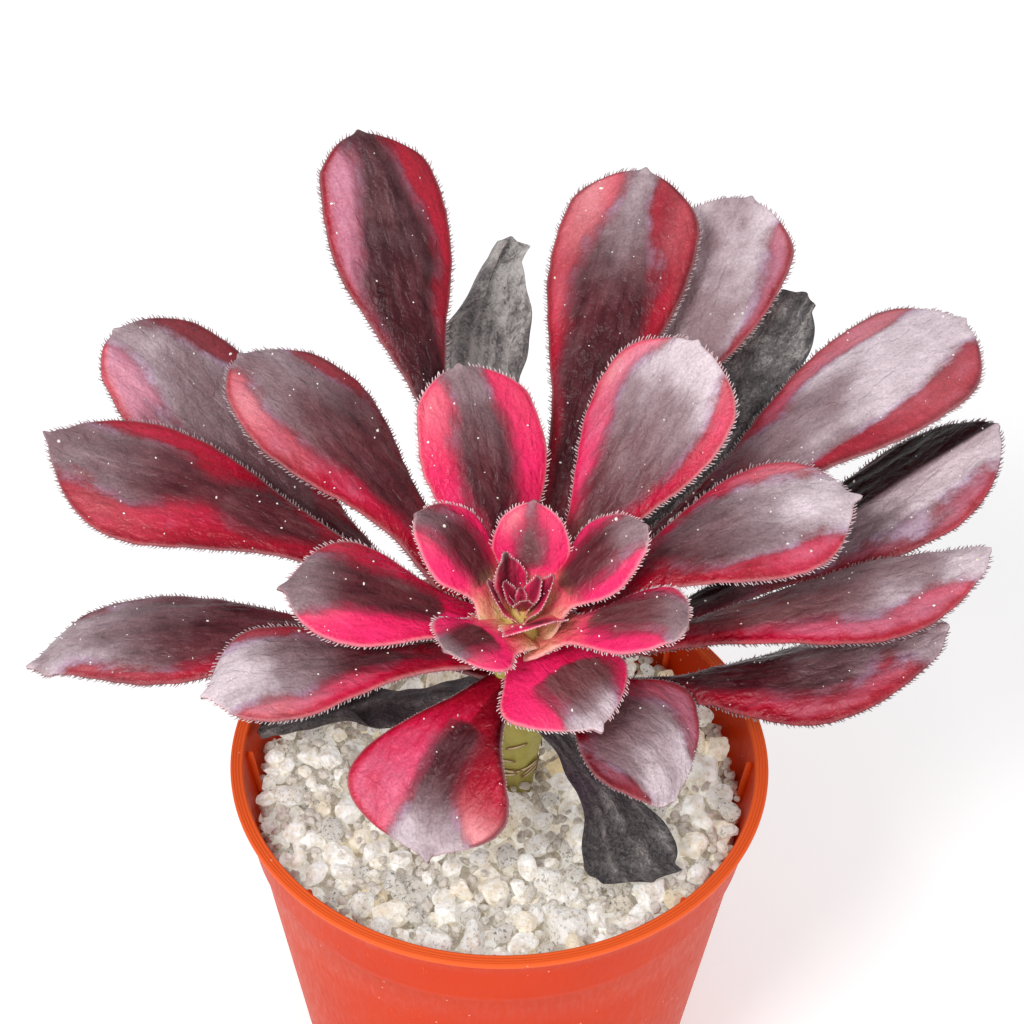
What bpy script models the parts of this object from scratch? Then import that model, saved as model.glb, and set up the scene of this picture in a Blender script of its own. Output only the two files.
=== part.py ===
"""A potted aeonium: a rosette of red and black leaves on a short green stem, in a round plastic
nursery pot of pumice grit. Run it with blender --background --python part.py. It is in metres, with
+Z up, the origin at the middle of the pot's base and the front of the pot towards -Y."""

import math
from collections import namedtuple

import bmesh
import bpy
from mathutils import Matrix, Vector

MM = 0.001
GAP = 0.3 * MM  # clearance between two pieces that touch

# The pot: a thin moulded cone with a collar under its lip and a flat, pierced base.
POT_HEIGHT = 80 * MM
POT_WALL = 1.2 * MM
LIP_RADIUS = 45 * MM
LIP_HEIGHT = 1.0 * MM
LIP_OVERHANG = 1.0 * MM
COLLAR_HEIGHT = 12.6 * MM
COLLAR_TOP_RADIUS = LIP_RADIUS - LIP_OVERHANG
COLLAR_FOOT_RADIUS = 42.2 * MM
COLLAR_STEP = 0.6 * MM
BODY_TOP_RADIUS = COLLAR_FOOT_RADIUS - COLLAR_STEP
BASE_RADIUS = 32.2 * MM
POT_SEGMENTS = 64
DRAIN_HOLES = 6
DRAIN_RADIUS = 3.5 * MM
DRAIN_CIRCLE = 20 * MM
DRAIN_SIDES = 24
STACKING_RIBS = 8  # upright fins inside the collar, which keep stacked pots apart
RIB_DEPTH = 1.0 * MM
RIB_WIDTH = 0.8 * MM
RIB_LENGTH = 9.5 * MM
RIB_TOP = 78.5 * MM

# What fills the pot.
GRIT_TOP = 73.5 * MM
GRIT_DEPTH = 10 * MM
GRIT_ROUNDING = 1.5 * MM
MIX_TOP = GRIT_TOP - GRIT_DEPTH - GAP

# The stem stands a little off the pot's axis, and swells under the leaves.
STEM_X = 3.0 * MM
STEM_Y = 1.5 * MM
STEM_SIDES = 16
TIP_ROUNDING = 0.2 * MM
STEM_PROFILE = (  # (height, radius) in mm, from the growing point down to the end of the main root
    (112.0, 0.4),
    (111.2, 1.5),
    (109.0, 2.5),
    (105.0, 3.8),
    (99.0, 4.7),
    (91.0, 4.9),
    (86.0, 4.3),
    (80.0, 3.4),
    (74.0, 2.6),
    (66.0, 2.4),
    (56.0, 2.0),
    (46.0, 1.3),
    (36.0, 0.6),
)
SIDE_ROOTS = 5
SIDE_ROOT_TOP = 61.0  # where they leave the stem's foot, in mm
SIDE_ROOT_DROP = 30.0  # how far down they reach, in mm
SIDE_ROOT_REACH = 22.0  # how far out they reach, in mm
SIDE_ROOT_RADIUS = 1.1  # at the stem, in mm
SIDE_ROOT_POINTS = 7
SIDE_ROOT_TURN = 0.3  # where the first one points, as a share of the angle between two
SIDE_ROOT_WANDER = 0.35  # how far it strays from its heading, in radians
SIDE_ROOT_DROOP = 1.6  # above 1, it runs out first and then down
SIDE_ROOT_TAPER = 0.6  # how much thinner it is at its end

# A leaf's section: eight points as (across, above), from one edge over the top to the other edge.
RING = ((-1, 0), (-0.55, 1), (0, 1), (0.55, 1), (1, 0), (0.55, -1), (0, -1), (-0.55, -1))
EDGE_THINNING = 0.6  # how fast the section thins towards its edges
LENGTH_THINNING = 0.45  # how much thinner the blade is at its tip than at the stem
CUP_POWER = 1.5  # between a folded blade, 1, and a bowed one, 2
CUP_FULL = 0.35  # how far along the blade its cup is whole
BASE_SHARE = 0.7  # how much of its neck's width a leaf keeps where it meets the stem
BASE_END = 0.15  # how far along the blade its neck has its own width
BASE_POINT = 0.3  # how far its closing point reaches back to the stem, in thicknesses
TIP_CURVE = 0.6  # how round its outline is beyond the belly
TIP_POINT = 0.6  # how far its closing point stands beyond the blade, in mm
MIDRIB_STEPS = 60
LEAF_STATIONS = (0.0, 0.1, 0.22, 0.36, 0.5, 0.63, 0.74, 0.83, 0.9, 0.95, 0.98)

Leaf = namedtuple(
    "Leaf",
    "name azimuth height length width rise fall swing roll cup belly neck waist tip lean thick",
)
# azimuth: the way from its base to its tip, in degrees from +X, with the front at -90
# height: where it leaves the stem, in mm; length, width and thick: of the blade, in mm
# rise, fall: its slope at the stem and at the tip, in degrees above the horizon
# swing: how far it bends sideways, from minus this at the stem to plus this at the tip, in degrees
# roll: how far the blade twists towards its tip, in degrees
# cup: how far the edges stand above the middle, as a share of the half width
# belly: where along the blade it is widest; neck: its width at the narrow part, as a share
# waist: where along the blade the narrow part ends and it begins to widen
# tip: how blunt its end is, from about 1.2 for a pointed one to 3.2 for a round one
# lean: how far its point stands to the left of the midrib, seen from the stem, in half widths
LEAVES = (
    Leaf("leaf_back_left", 114, 104.6, 83, 20.5, 48, 40, -10, 0, 0.20, 0.80, 0.30, 0.46, 3.5, 0.2, 1.8),
    Leaf("leaf_back_right", 73.8, 102.4, 81, 24.5, 36, 36, -3, 0, 0.12, 0.82, 0.30, 0.36, 2.8, 0, 1.8),
    Leaf("leaf_back_far", 60.5, 98.2, 85.5, 22.5, 32, 35, 0, 0, 0.10, 0.85, 0.27, 0.46, 3.2, 0, 1.7),
    Leaf("leaf_far_left", 143, 95.8, 86, 25.0, 10, 36, 0, -12, 0.12, 0.80, 0.30, 0.30, 2.4, 0.25, 1.7),
    Leaf("leaf_upper_left", 138.2, 102.6, 63, 23.2, 36, 17, 0, 0, 0.12, 0.76, 0.38, 0.34, 2.5, 0.2, 1.8),
    Leaf("leaf_left", 162, 100.0, 81, 23.5, 25, 2, 9, -18, 0.08, 0.80, 0.34, 0.36, 1.7, -0.35, 1.7),
    Leaf("leaf_mid_left", 176.5, 107.1, 33.5, 19.5, 14, 18, 0, -16, 0.15, 0.68, 0.42, 0.12, 2.6, 0.25, 1.7),
    Leaf("leaf_low_left", 179.5, 98.2, 74, 19.0, 17, -13, 0, -8, 0.20, 0.72, 0.32, 0.28, 1.7, 0.2, 1.7),
    Leaf("leaf_lower_left", -167, 102.2, 45, 18.5, 10, -2, 0, -12, 0.12, 0.76, 0.36, 0.20, 2.4, 0.2, 1.8),
    Leaf("leaf_front", -119, 98.5, 30.5, 27.5, -10, -40, 14, 0, -0.08, 0.74, 0.34, 0.08, 1.7, 0.15, 1.8),
    Leaf("leaf_front_short", -55, 105.1, 16.5, 23.6, 4, -18, 0, 0, 0.10, 0.48, 0.62, 0.05, 1.4, 0, 1.7),
    Leaf("leaf_front_heart", -133, 109.0, 14, 15.5, 30, 10, 0, -6, 0.18, 0.56, 0.50, 0.10, 1.7, 0, 1.4),
    Leaf("leaf_front_right", -33, 97.6, 28, 25.5, 8, -24, 0, 0, 0.00, 0.66, 0.32, 0.12, 1.8, -0.5, 1.7),
    Leaf("leaf_right_short", -21, 107.2, 27.5, 14.5, 33, 28, 0, 8, 0.15, 0.68, 0.42, 0.12, 2.3, -0.5, 1.6),
    Leaf("leaf_right_mid", 12.5, 104.2, 54, 22.0, 46, 2, 0, 14, 0.12, 0.78, 0.30, 0.22, 2.5, 0, 1.7),
    Leaf("leaf_right_upper", 31.8, 101.0, 88, 26.5, 34, 14, 0, 0, 0.12, 0.83, 0.28, 0.36, 2.8, 0, 1.8),
    Leaf("leaf_right_behind", 23, 95.8, 84.5, 22.5, 9, 30, 0, 0, 0.20, 0.82, 0.27, 0.36, 1.9, 0, 1.7),
    Leaf("leaf_right_low", 6.5, 99.6, 72, 19.0, 13, 12, 0, 6, 0.20, 0.76, 0.32, 0.25, 1.6, 0.3, 1.7),
    Leaf("leaf_right_lowest", -1, 93.9, 64, 20.5, 2, 22, 0, 4, 0.25, 0.68, 0.28, 0.28, 1.5, 0.3, 1.7),
    Leaf("leaf_upper_middle", 107, 107.2, 40, 21.0, 47, 46, 0, 0, 0.10, 0.64, 0.34, 0.12, 2.9, 0.15, 1.6),
    Leaf("leaf_upper_right", 49, 105.8, 51, 25.5, 42, 44, -3, 0, 0.08, 0.76, 0.27, 0.20, 2.7, 0, 1.7),
    Leaf("leaf_inner_left", 151.5, 109.2, 21.5, 14.5, 54, 44, 9, -10, 0.20, 0.58, 0.42, 0.12, 1.9, 0.35, 1.4),
    Leaf("leaf_inner_back", 81, 109.8, 16, 13.0, 54, 66, 0, 0, 0.20, 0.56, 0.42, 0.12, 1.9, 0, 1.3),
    Leaf("leaf_inner_right", 19, 109.2, 22.5, 14.4, 50, 42, 0, 10, 0.18, 0.60, 0.42, 0.12, 1.9, -0.3, 1.5),
    Leaf("heart_leaf_back", 126, 111.3, 8.2, 6.0, 74, 68, 0, 0, 0.30, 0.50, 0.50, 0.12, 1.6, 0, 0.8),
    Leaf("heart_leaf_left", -178, 110.8, 6.5, 4.5, 58, 66, 0, 0, 0.30, 0.50, 0.50, 0.12, 1.6, 0, 0.7),
    Leaf("heart_leaf_right", 8, 111.2, 6.5, 4.5, 58, 70, 0, 0, 0.30, 0.50, 0.60, 0.12, 1.6, 0, 0.7),
    Leaf("heart_leaf_front", -68, 110.4, 8.0, 10.5, 44, 36, 0, 0, 0.30, 0.50, 0.60, 0.12, 1.5, 0.3, 0.8),
    Leaf("heart_leaf_bud", 35, 111.9, 4.4, 3.2, 58, 64, 0, 0, 0.40, 0.50, 0.50, 0.12, 1.6, 0, 0.6),
    Leaf("dry_leaf_back", 95.4, 93.5, 74.5, 15.5, 30, 46, -16, 0, 0.30, 0.74, 0.50, 0.15, 1.8, -0.45, 1.2),
    Leaf("dry_leaf_right", 49.5, 92.4, 79, 13.5, 24, 40, 0, 0, 0.20, 0.84, 0.60, 0.15, 2.6, 0, 1.2),
    Leaf("dry_leaf_left", 174, 92.8, 41, 11.0, -16, -28, 0, 0, 0.40, 0.80, 0.70, 0.15, 2.4, 0, 1.2),
    Leaf("dry_leaf_front", -52.5, 92.0, 31.5, 12.5, -33, -27, -24, 0, 0.10, 0.86, 0.48, 0.15, 3.6, 0.3, 1.2),
)


def clear_scene():
    for obj in list(bpy.data.objects):
        bpy.data.objects.remove(obj)


def collection(name):
    made = bpy.data.collections.new(name)
    bpy.context.scene.collection.children.link(made)
    return made


def material(name, colour, roughness):
    made = bpy.data.materials.new(name)
    made.use_nodes = True
    shader = made.node_tree.nodes["Principled BSDF"]
    shader.inputs["Base Color"].default_value = (*colour, 1)
    shader.inputs["Roughness"].default_value = roughness
    shader.inputs["Metallic"].default_value = 0
    return made


def add_object(name, mesh, into, finish=None):
    made = bpy.data.objects.new(name, mesh)
    into.objects.link(made)
    if finish:
        mesh.materials.append(finish)
    return made


def turned(name, profile, segments, into, finish=None):
    """A profile of (radius, height) points turned round Z with a Screw modifier."""
    mesh = bpy.data.meshes.new(name)
    points = [(radius, 0, height) for radius, height in profile]
    mesh.from_pydata(points, [(i, i + 1) for i in range(len(points) - 1)], [])
    made = add_object(name, mesh, into, finish)
    screw = made.modifiers.new("Turn", "SCREW")
    screw.steps = screw.render_steps = segments
    screw.use_merge_vertices = True
    screw.merge_threshold = 0.00001
    screw.use_smooth_shade = True
    return made


def combine(made, other, operation):
    """Cuts another object out of this one, or joins it on, with the other kept as a guide."""
    other.hide_render = True
    other.display_type = "WIRE"
    boolean = made.modifiers.new(other.name, "BOOLEAN")
    boolean.operation = operation
    boolean.object = other


def cut(made, cutter):
    combine(made, cutter, "DIFFERENCE")


def join(made, other):
    combine(made, other, "UNION")


def wall_radius(height):
    """The outside radius of the pot's body under the collar."""
    share = height / (POT_HEIGHT - COLLAR_HEIGHT)
    return BASE_RADIUS + (BODY_TOP_RADIUS - BASE_RADIUS) * share


def inner_radius(height):
    """The inside radius of the pot at a height, collar included."""
    ledge = POT_HEIGHT - COLLAR_HEIGHT
    if height <= ledge:
        return wall_radius(height) - POT_WALL
    share = (height - ledge) / COLLAR_HEIGHT
    return COLLAR_FOOT_RADIUS + (COLLAR_TOP_RADIUS - COLLAR_FOOT_RADIUS) * share - POT_WALL


def make_pot(into, cutters, finish):
    ledge = POT_HEIGHT - COLLAR_HEIGHT
    profile = (
        (0, POT_WALL),
        (inner_radius(POT_WALL), POT_WALL),
        (inner_radius(ledge), ledge),
        (COLLAR_FOOT_RADIUS - POT_WALL, ledge + COLLAR_STEP),
        (inner_radius(POT_HEIGHT), POT_HEIGHT),
        (LIP_RADIUS, POT_HEIGHT),
        (LIP_RADIUS, POT_HEIGHT - LIP_HEIGHT),
        (COLLAR_TOP_RADIUS, POT_HEIGHT - LIP_HEIGHT),
        (COLLAR_FOOT_RADIUS, ledge),
        (BODY_TOP_RADIUS, ledge),
        (BASE_RADIUS, 0),
        (0, 0),
    )
    pot = turned("pot", profile, POT_SEGMENTS, into, finish)
    for i in range(DRAIN_HOLES):
        turn = 2 * math.pi * (i + 0.5) / DRAIN_HOLES
        place = (DRAIN_CIRCLE * math.cos(turn), DRAIN_CIRCLE * math.sin(turn), 0)
        mesh = bpy.data.meshes.new(f"drain_hole_{i + 1}")
        build = bmesh.new()
        bmesh.ops.create_cone(
            build,
            cap_ends=True,
            segments=DRAIN_SIDES,
            radius1=DRAIN_RADIUS,
            radius2=DRAIN_RADIUS,
            depth=4 * POT_WALL,
        )
        build.to_mesh(mesh)
        build.free()
        hole = add_object(mesh.name, mesh, cutters)
        hole.location = place
        cut(pot, hole)
    for i in range(STACKING_RIBS):
        join(pot, make_stacking_rib(i, cutters))
    return pot


def make_stacking_rib(index, cutters):
    """A fin that leans with the collar's wall, its back half a wall deep in it."""
    middle = RIB_TOP - RIB_LENGTH / 2
    lean = math.atan2(COLLAR_TOP_RADIUS - COLLAR_FOOT_RADIUS, COLLAR_HEIGHT)
    sunk = POT_WALL / 2
    build = bmesh.new()
    bmesh.ops.create_cube(build, size=1)
    bmesh.ops.scale(build, vec=(RIB_DEPTH + sunk, RIB_WIDTH, RIB_LENGTH), verts=build.verts)
    bmesh.ops.rotate(build, matrix=Matrix.Rotation(lean, 3, "Y"), verts=build.verts)
    out = inner_radius(middle) + (sunk - RIB_DEPTH) / 2
    bmesh.ops.translate(build, vec=(out, 0, middle), verts=build.verts)
    turn = 2 * math.pi * index / STACKING_RIBS
    bmesh.ops.rotate(build, matrix=Matrix.Rotation(turn, 3, "Z"), verts=build.verts)
    mesh = bpy.data.meshes.new(f"stacking_rib_{index + 1}")
    build.to_mesh(mesh)
    build.free()
    return add_object(mesh.name, mesh, cutters)


def make_filling(into, cutters, mix_finish, grit_finish):
    """The potting mix and the grit on it, both bored for the stem."""
    floor = POT_WALL + GAP
    mix_profile = (
        (0, MIX_TOP),
        (inner_radius(MIX_TOP) - GAP, MIX_TOP),
        (inner_radius(floor) - GAP, floor),
        (0, floor),
    )
    mix = turned("potting_mix", mix_profile, POT_SEGMENTS, into, mix_finish)
    grit_foot = GRIT_TOP - GRIT_DEPTH
    ledge = POT_HEIGHT - COLLAR_HEIGHT
    inside_ribs = inner_radius(RIB_TOP - RIB_LENGTH) - RIB_DEPTH - 2 * GAP
    grit_profile = (
        (0, GRIT_TOP),
        (inside_ribs - GRIT_ROUNDING, GRIT_TOP),
        (inside_ribs, GRIT_TOP - GRIT_ROUNDING),
        (inside_ribs, ledge),
        (inner_radius(grit_foot) - GAP, grit_foot),
        (0, grit_foot),
    )
    grit = turned("grit_topping", grit_profile, POT_SEGMENTS, into, grit_finish)
    bore = make_stem_body("stem_bore", GAP, cutters)
    for i in range(SIDE_ROOTS):
        join(bore, make_side_root(i, GAP, cutters))
    cut(mix, bore)
    cut(grit, bore)
    return mix, grit


def stem_radius(height):
    """The stem's radius at a height, both in mm."""
    for (above, wide), (below, narrow) in zip(STEM_PROFILE, STEM_PROFILE[1:]):
        if below <= height <= above:
            return narrow + (wide - narrow) * (height - below) / (above - below)
    return STEM_PROFILE[0][1]


def make_stem_body(name, grown, into, finish=None):
    """The stem and its main root as one turned body, grown all round by a clearance."""
    profile = [(radius * MM + grown, height * MM) for height, radius in STEM_PROFILE]
    profile = [(0, profile[0][1] + TIP_ROUNDING + grown)] + profile
    profile += [(0, profile[-1][1] - TIP_ROUNDING - grown)]
    body = turned(name, profile, STEM_SIDES, into, finish)
    body.location = (STEM_X, STEM_Y, 0)
    return body


def make_side_root(index, grown, guides):
    """A tapering root that bends out and down from the stem's foot."""
    curve = bpy.data.curves.new("root_path", "CURVE")
    curve.dimensions = "3D"
    curve.bevel_depth = SIDE_ROOT_RADIUS * MM
    curve.bevel_resolution = 1
    curve.use_fill_caps = True
    spline = curve.splines.new("POLY")
    spline.points.add(SIDE_ROOT_POINTS - 1)
    heading = 2 * math.pi * (index + SIDE_ROOT_TURN) / SIDE_ROOTS
    whole = 1 + 2 * grown / (SIDE_ROOT_REACH * MM)
    for i, point in enumerate(spline.points):
        share = whole * i / (SIDE_ROOT_POINTS - 1)
        turn = heading + SIDE_ROOT_WANDER * math.sin(math.pi * share + index)
        out = SIDE_ROOT_REACH * MM * share
        height = (SIDE_ROOT_TOP - SIDE_ROOT_DROP * share**SIDE_ROOT_DROOP) * MM
        point.co = (STEM_X + out * math.cos(turn), STEM_Y + out * math.sin(turn), height, 1)
        point.radius = 1 - SIDE_ROOT_TAPER * share + grown / (SIDE_ROOT_RADIUS * MM)
    path = bpy.data.objects.new("root_path", curve)
    guides.objects.link(path)
    mesh = bpy.data.meshes.new_from_object(path.evaluated_get(bpy.context.evaluated_depsgraph_get()))
    mesh.name = f"side_root_{index + 1}"
    weld(mesh)
    bpy.data.objects.remove(path)
    return add_object(mesh.name, mesh, guides)


def weld(mesh):
    build = bmesh.new()
    build.from_mesh(mesh)
    bmesh.ops.remove_doubles(build, verts=build.verts, dist=0.000001)
    bmesh.ops.recalc_face_normals(build, faces=build.faces)
    build.to_mesh(mesh)
    build.free()


def make_stem(into, guides, finish):
    stem = make_stem_body("stem", 0, into, finish)
    for i in range(SIDE_ROOTS):
        join(stem, make_side_root(i, 0, guides))
    return stem


def smooth(share):
    share = min(max(share, 0), 1)
    return share * share * (3 - 2 * share)


def half_width(leaf, at):
    """Half the blade's width, in mm, at a share of its length: a neck, a belly and a round end."""
    full = leaf.width / 2
    if at < leaf.belly:
        widened = leaf.neck + (1 - leaf.neck) * smooth((at - leaf.waist) / (leaf.belly - leaf.waist))
        return full * widened * (BASE_SHARE + (1 - BASE_SHARE) * smooth(at / BASE_END))
    beyond = (at - leaf.belly) / (1 - leaf.belly)
    return full * max(1 - beyond**leaf.tip, 0.0) ** TIP_CURVE


def offset(leaf, at):
    """How far the middle of the section stands to the left of the midrib, in mm, beyond the belly."""
    return leaf.lean * (leaf.width / 2 - half_width(leaf, at)) if at > leaf.belly else 0


def midrib(leaf):
    """Places and frames along the leaf: (point, forward, side, up), in mm."""
    azimuth = math.radians(leaf.azimuth)
    out = Vector((math.cos(azimuth), math.sin(azimuth), 0))
    start = stem_radius(leaf.height) + GAP / MM + leaf.thick * BASE_POINT
    point = Vector((STEM_X / MM, STEM_Y / MM, leaf.height)) + out * start
    frames = []
    for i in range(MIDRIB_STEPS + 1):
        share = i / MIDRIB_STEPS
        slope = math.radians(leaf.rise + (leaf.fall - leaf.rise) * share)
        turn = azimuth + math.radians(leaf.swing) * (2 * share - 1)
        forward = Vector(
            (math.cos(turn) * math.cos(slope), math.sin(turn) * math.cos(slope), math.sin(slope))
        )
        side = Vector((-math.sin(turn), math.cos(turn), 0))
        twist = Matrix.Rotation(math.radians(leaf.roll) * smooth(share), 3, forward)
        frames.append((point.copy(), forward, twist @ side, twist @ forward.cross(side) * -1))
        point += forward * leaf.length / MIDRIB_STEPS
    return frames


def section(leaf, frame, at):
    """The points of the ring round the blade at a share of its length."""
    point, _, side, up = frame
    half = half_width(leaf, at)
    thick = leaf.thick * (1 - LENGTH_THINNING * at)
    cup = leaf.cup * smooth(at / CUP_FULL)
    middle = point + side * offset(leaf, at)
    ring = []
    for across, above in RING:
        bowed = cup * half * abs(across) ** CUP_POWER
        skin = above * thick / 2 * math.sqrt(1 - EDGE_THINNING * across * across)
        ring.append((middle + side * half * across + up * (bowed + skin)) * MM)
    return ring


def make_leaf(leaf, into, finish):
    """One leaf: a loft through its sections, with a point at the stem and at the tip."""
    frames = midrib(leaf)
    build = bmesh.new()
    rings = []
    for at in LEAF_STATIONS:
        place = at * MIDRIB_STEPS
        low = int(place)
        mix = place - low
        frame = tuple(a.lerp(b, mix) for a, b in zip(frames[low], frames[low + 1]))
        rings.append([build.verts.new(p) for p in section(leaf, frame, at)])
    base = build.verts.new((frames[0][0] - frames[0][1] * leaf.thick * BASE_POINT) * MM)
    point, forward, side, _ = frames[-1]
    tip = build.verts.new((point + forward * TIP_POINT + side * offset(leaf, 1)) * MM)
    for ring, following in zip(rings, rings[1:]):
        for i in range(len(RING)):
            j = (i + 1) % len(RING)
            build.faces.new((ring[i], ring[j], following[j], following[i]))
    for i in range(len(RING)):
        j = (i + 1) % len(RING)
        build.faces.new((rings[0][j], rings[0][i], base))
        build.faces.new((rings[-1][i], rings[-1][j], tip))
    bmesh.ops.recalc_face_normals(build, faces=build.faces)
    mesh = bpy.data.meshes.new(leaf.name)
    build.to_mesh(mesh)
    build.free()
    mesh.shade_smooth()
    return add_object(leaf.name, mesh, into, finish)


def main():
    clear_scene()
    parts = collection("potted_aeonium")
    cutters = collection("cutters")
    orange = material("orange_polypropylene", (0.80, 0.10, 0.03), 0.4)
    mix = material("dark_potting_mix", (0.06, 0.04, 0.03), 0.95)
    grit = material("pumice_grit", (0.72, 0.69, 0.63), 0.9)
    green = material("green_stem", (0.32, 0.36, 0.12), 0.55)
    red = material("red_leaf", (0.42, 0.02, 0.06), 0.4)
    black = material("dried_leaf", (0.03, 0.03, 0.03), 0.6)
    make_pot(parts, cutters, orange)
    make_filling(parts, cutters, mix, grit)
    make_stem(parts, cutters, green)
    for leaf in LEAVES:
        make_leaf(leaf, parts, black if leaf.name.startswith("dry") else red)


main()
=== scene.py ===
"""The looks of a potted aeonium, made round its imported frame: thick red and black leaves fringed with
stiff hairs, a few dried leaves, a green stem with curls of bark, pumice grit and a moulded pot.
Lengths are in metres, or in millimetres where a name or comment says so."""

import functools
import math
from collections import namedtuple

import bmesh
import bpy
import numpy as np
from mathutils import Matrix, Vector


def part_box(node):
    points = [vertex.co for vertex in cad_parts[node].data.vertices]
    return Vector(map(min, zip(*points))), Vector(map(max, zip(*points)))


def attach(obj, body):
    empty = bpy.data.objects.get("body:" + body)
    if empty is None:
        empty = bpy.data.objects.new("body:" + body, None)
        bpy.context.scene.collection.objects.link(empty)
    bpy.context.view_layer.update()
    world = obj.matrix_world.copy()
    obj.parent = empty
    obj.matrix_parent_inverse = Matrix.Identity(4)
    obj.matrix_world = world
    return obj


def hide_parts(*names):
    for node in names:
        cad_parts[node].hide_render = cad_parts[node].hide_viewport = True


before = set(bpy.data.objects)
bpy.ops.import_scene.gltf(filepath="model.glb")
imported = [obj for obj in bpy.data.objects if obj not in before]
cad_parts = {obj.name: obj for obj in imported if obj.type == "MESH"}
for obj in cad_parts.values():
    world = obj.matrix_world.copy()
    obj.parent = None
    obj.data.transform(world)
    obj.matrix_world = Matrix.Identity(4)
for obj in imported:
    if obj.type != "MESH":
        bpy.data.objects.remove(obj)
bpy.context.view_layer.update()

MM = 0.001
BODY = "root"

# The camera: level turn 0, looking down at the rosette from in front.
CAMERA_RISE = 40.6  # degrees above the horizon
CAMERA_ROLL = 1.2
CAMERA_DISTANCE = 353 * MM
CAMERA_VIEW = 25.0  # degrees across
CAMERA_AIM = Vector((1.2, 0, 132.9)) * MM

# How fine a leaf's surface is.
ROW_STEP = 0.75  # mm between rows along it
ROWS_LEAST = 24
COLUMN_STEP = 0.55  # mm between columns across it
COLUMNS_LEAST = 20
EDGE_BUNCHING = 0.65  # how much the columns crowd towards the margins
TIP_BUNCHING = 1.5  # how much the rows crowd towards the tip

# How a leaf is built, in mm where nothing else is said.
EDGE_ROUND = 0.8  # over which its margin rounds off
TIP_POWER = 0.5  # the width near the tip goes with this power of the way from it
CUP_POWER = 1.5  # between a folded blade, 1, and a bowed one, 2
THINNING = 0.45  # share of its thickness that it loses from the middle to the margins
ROOTED = 1.2  # that its foot reaches back into the stem
CLASP_REACH = 10  # over which its foot narrows
END_REACH = 2.0  # over which its end draws out, more for a long point
POINT_WIDTH = 0.8
GROOVE_DEPTH, GROOVE_WIDTH = 0.28, 1.3  # the groove down its middle
HOOK_REACH = 10  # over which its end bends
DRIED_POINT = 0.8
DRIED_SHARE = 0.45  # of its thickness that a dried leaf keeps
DRIED_LEAST = 0.35  # thickness of a dried leaf
BLUNT_REACH = 0.9  # over which a dried leaf's end closes
WAIST_AT, WAIST_REACH = 0.66, 0.24  # shares of a dried leaf's length
CURL_REACH = 0.22  # share of its length over which the roll tightens
CURL_GROWTH = 0.35  # how much wider a rolled margin is than the flat blade

# The hairs that fringe a leaf's margins, in mm where nothing else is said.
HAIR_START = 0.12  # share of the margin, from its foot, that has none
HAIR_SPACING = 0.58
HAIR_LENGTH = 0.78
HAIR_RADIUS = 0.15
HAIR_ROOTED = 0.1
HAIR_SLANT = 0.30  # towards the leaf's tip, as a share of its way outward
HAIR_SWAY = 0.13  # at random, as a share of the same way
HAIR_SHARES = np.array([0.0, 0.45, 0.85])  # where along a hair its rings stand
HAIR_TAPER = (1.0, 0.78, 0.5)  # and how thick it is there, as a share of its foot
HAIR_SIDES = 4

Look = namedtuple(
    "Look",
    "core tip lean start tone bloom grey left right pale deep green rim wrinkle ripple point hook clasp"
    " fold shade fringe film_left film_right slim round_end",
    defaults=(0, 0.3, 0.1, 0.1, 0.8, 0, 3.0, 0, 0, 1, 0, 0, 1, 0.6),
)
# core: half width of the dark band, as a share of the half blade; tip: the same at the tip, in mm
# lean: how far the band sits to the left; start: where along the blade it begins
# tone: how brown the band is, from black to grey brown
# the sixth field: how strong the grey sheen painted into the colour is, standing for the sky's reflection;
# grey: where along the blade it begins
# left, right: how hot the pink of each margin is, as seen from the stem
# the tenth field: how pale the margins turn towards the tip, painted lighter on the left margin where light
# falls; deep: how dark at the foot
# green: how green the foot is; rim: how pale the very edge is
# wrinkle, ripple: height of the long wrinkles and of the margin's waves, in mm
# point, hook: length of the end's point and how far the end bends up, in mm
# clasp: half width in mm that the foot keeps round the stem; fold: how much more it is folded than
# the plain solid that it covers; shade: how much painted shade darkens its left half, where it faces
# away from the light
# fringe: how long its hairs are, as a share of the usual
# the two fields after fringe: how much painted lilac sheen, standing for the sky's reflection, dulls each
# margin
# slim: how wide its left half is, as a share of the right one
# round_end: how round its end is, as a share of a round as wide as the leaf
HEART = {"wrinkle": 0.02, "fringe": 0.4, "round_end": 0.3}
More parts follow.
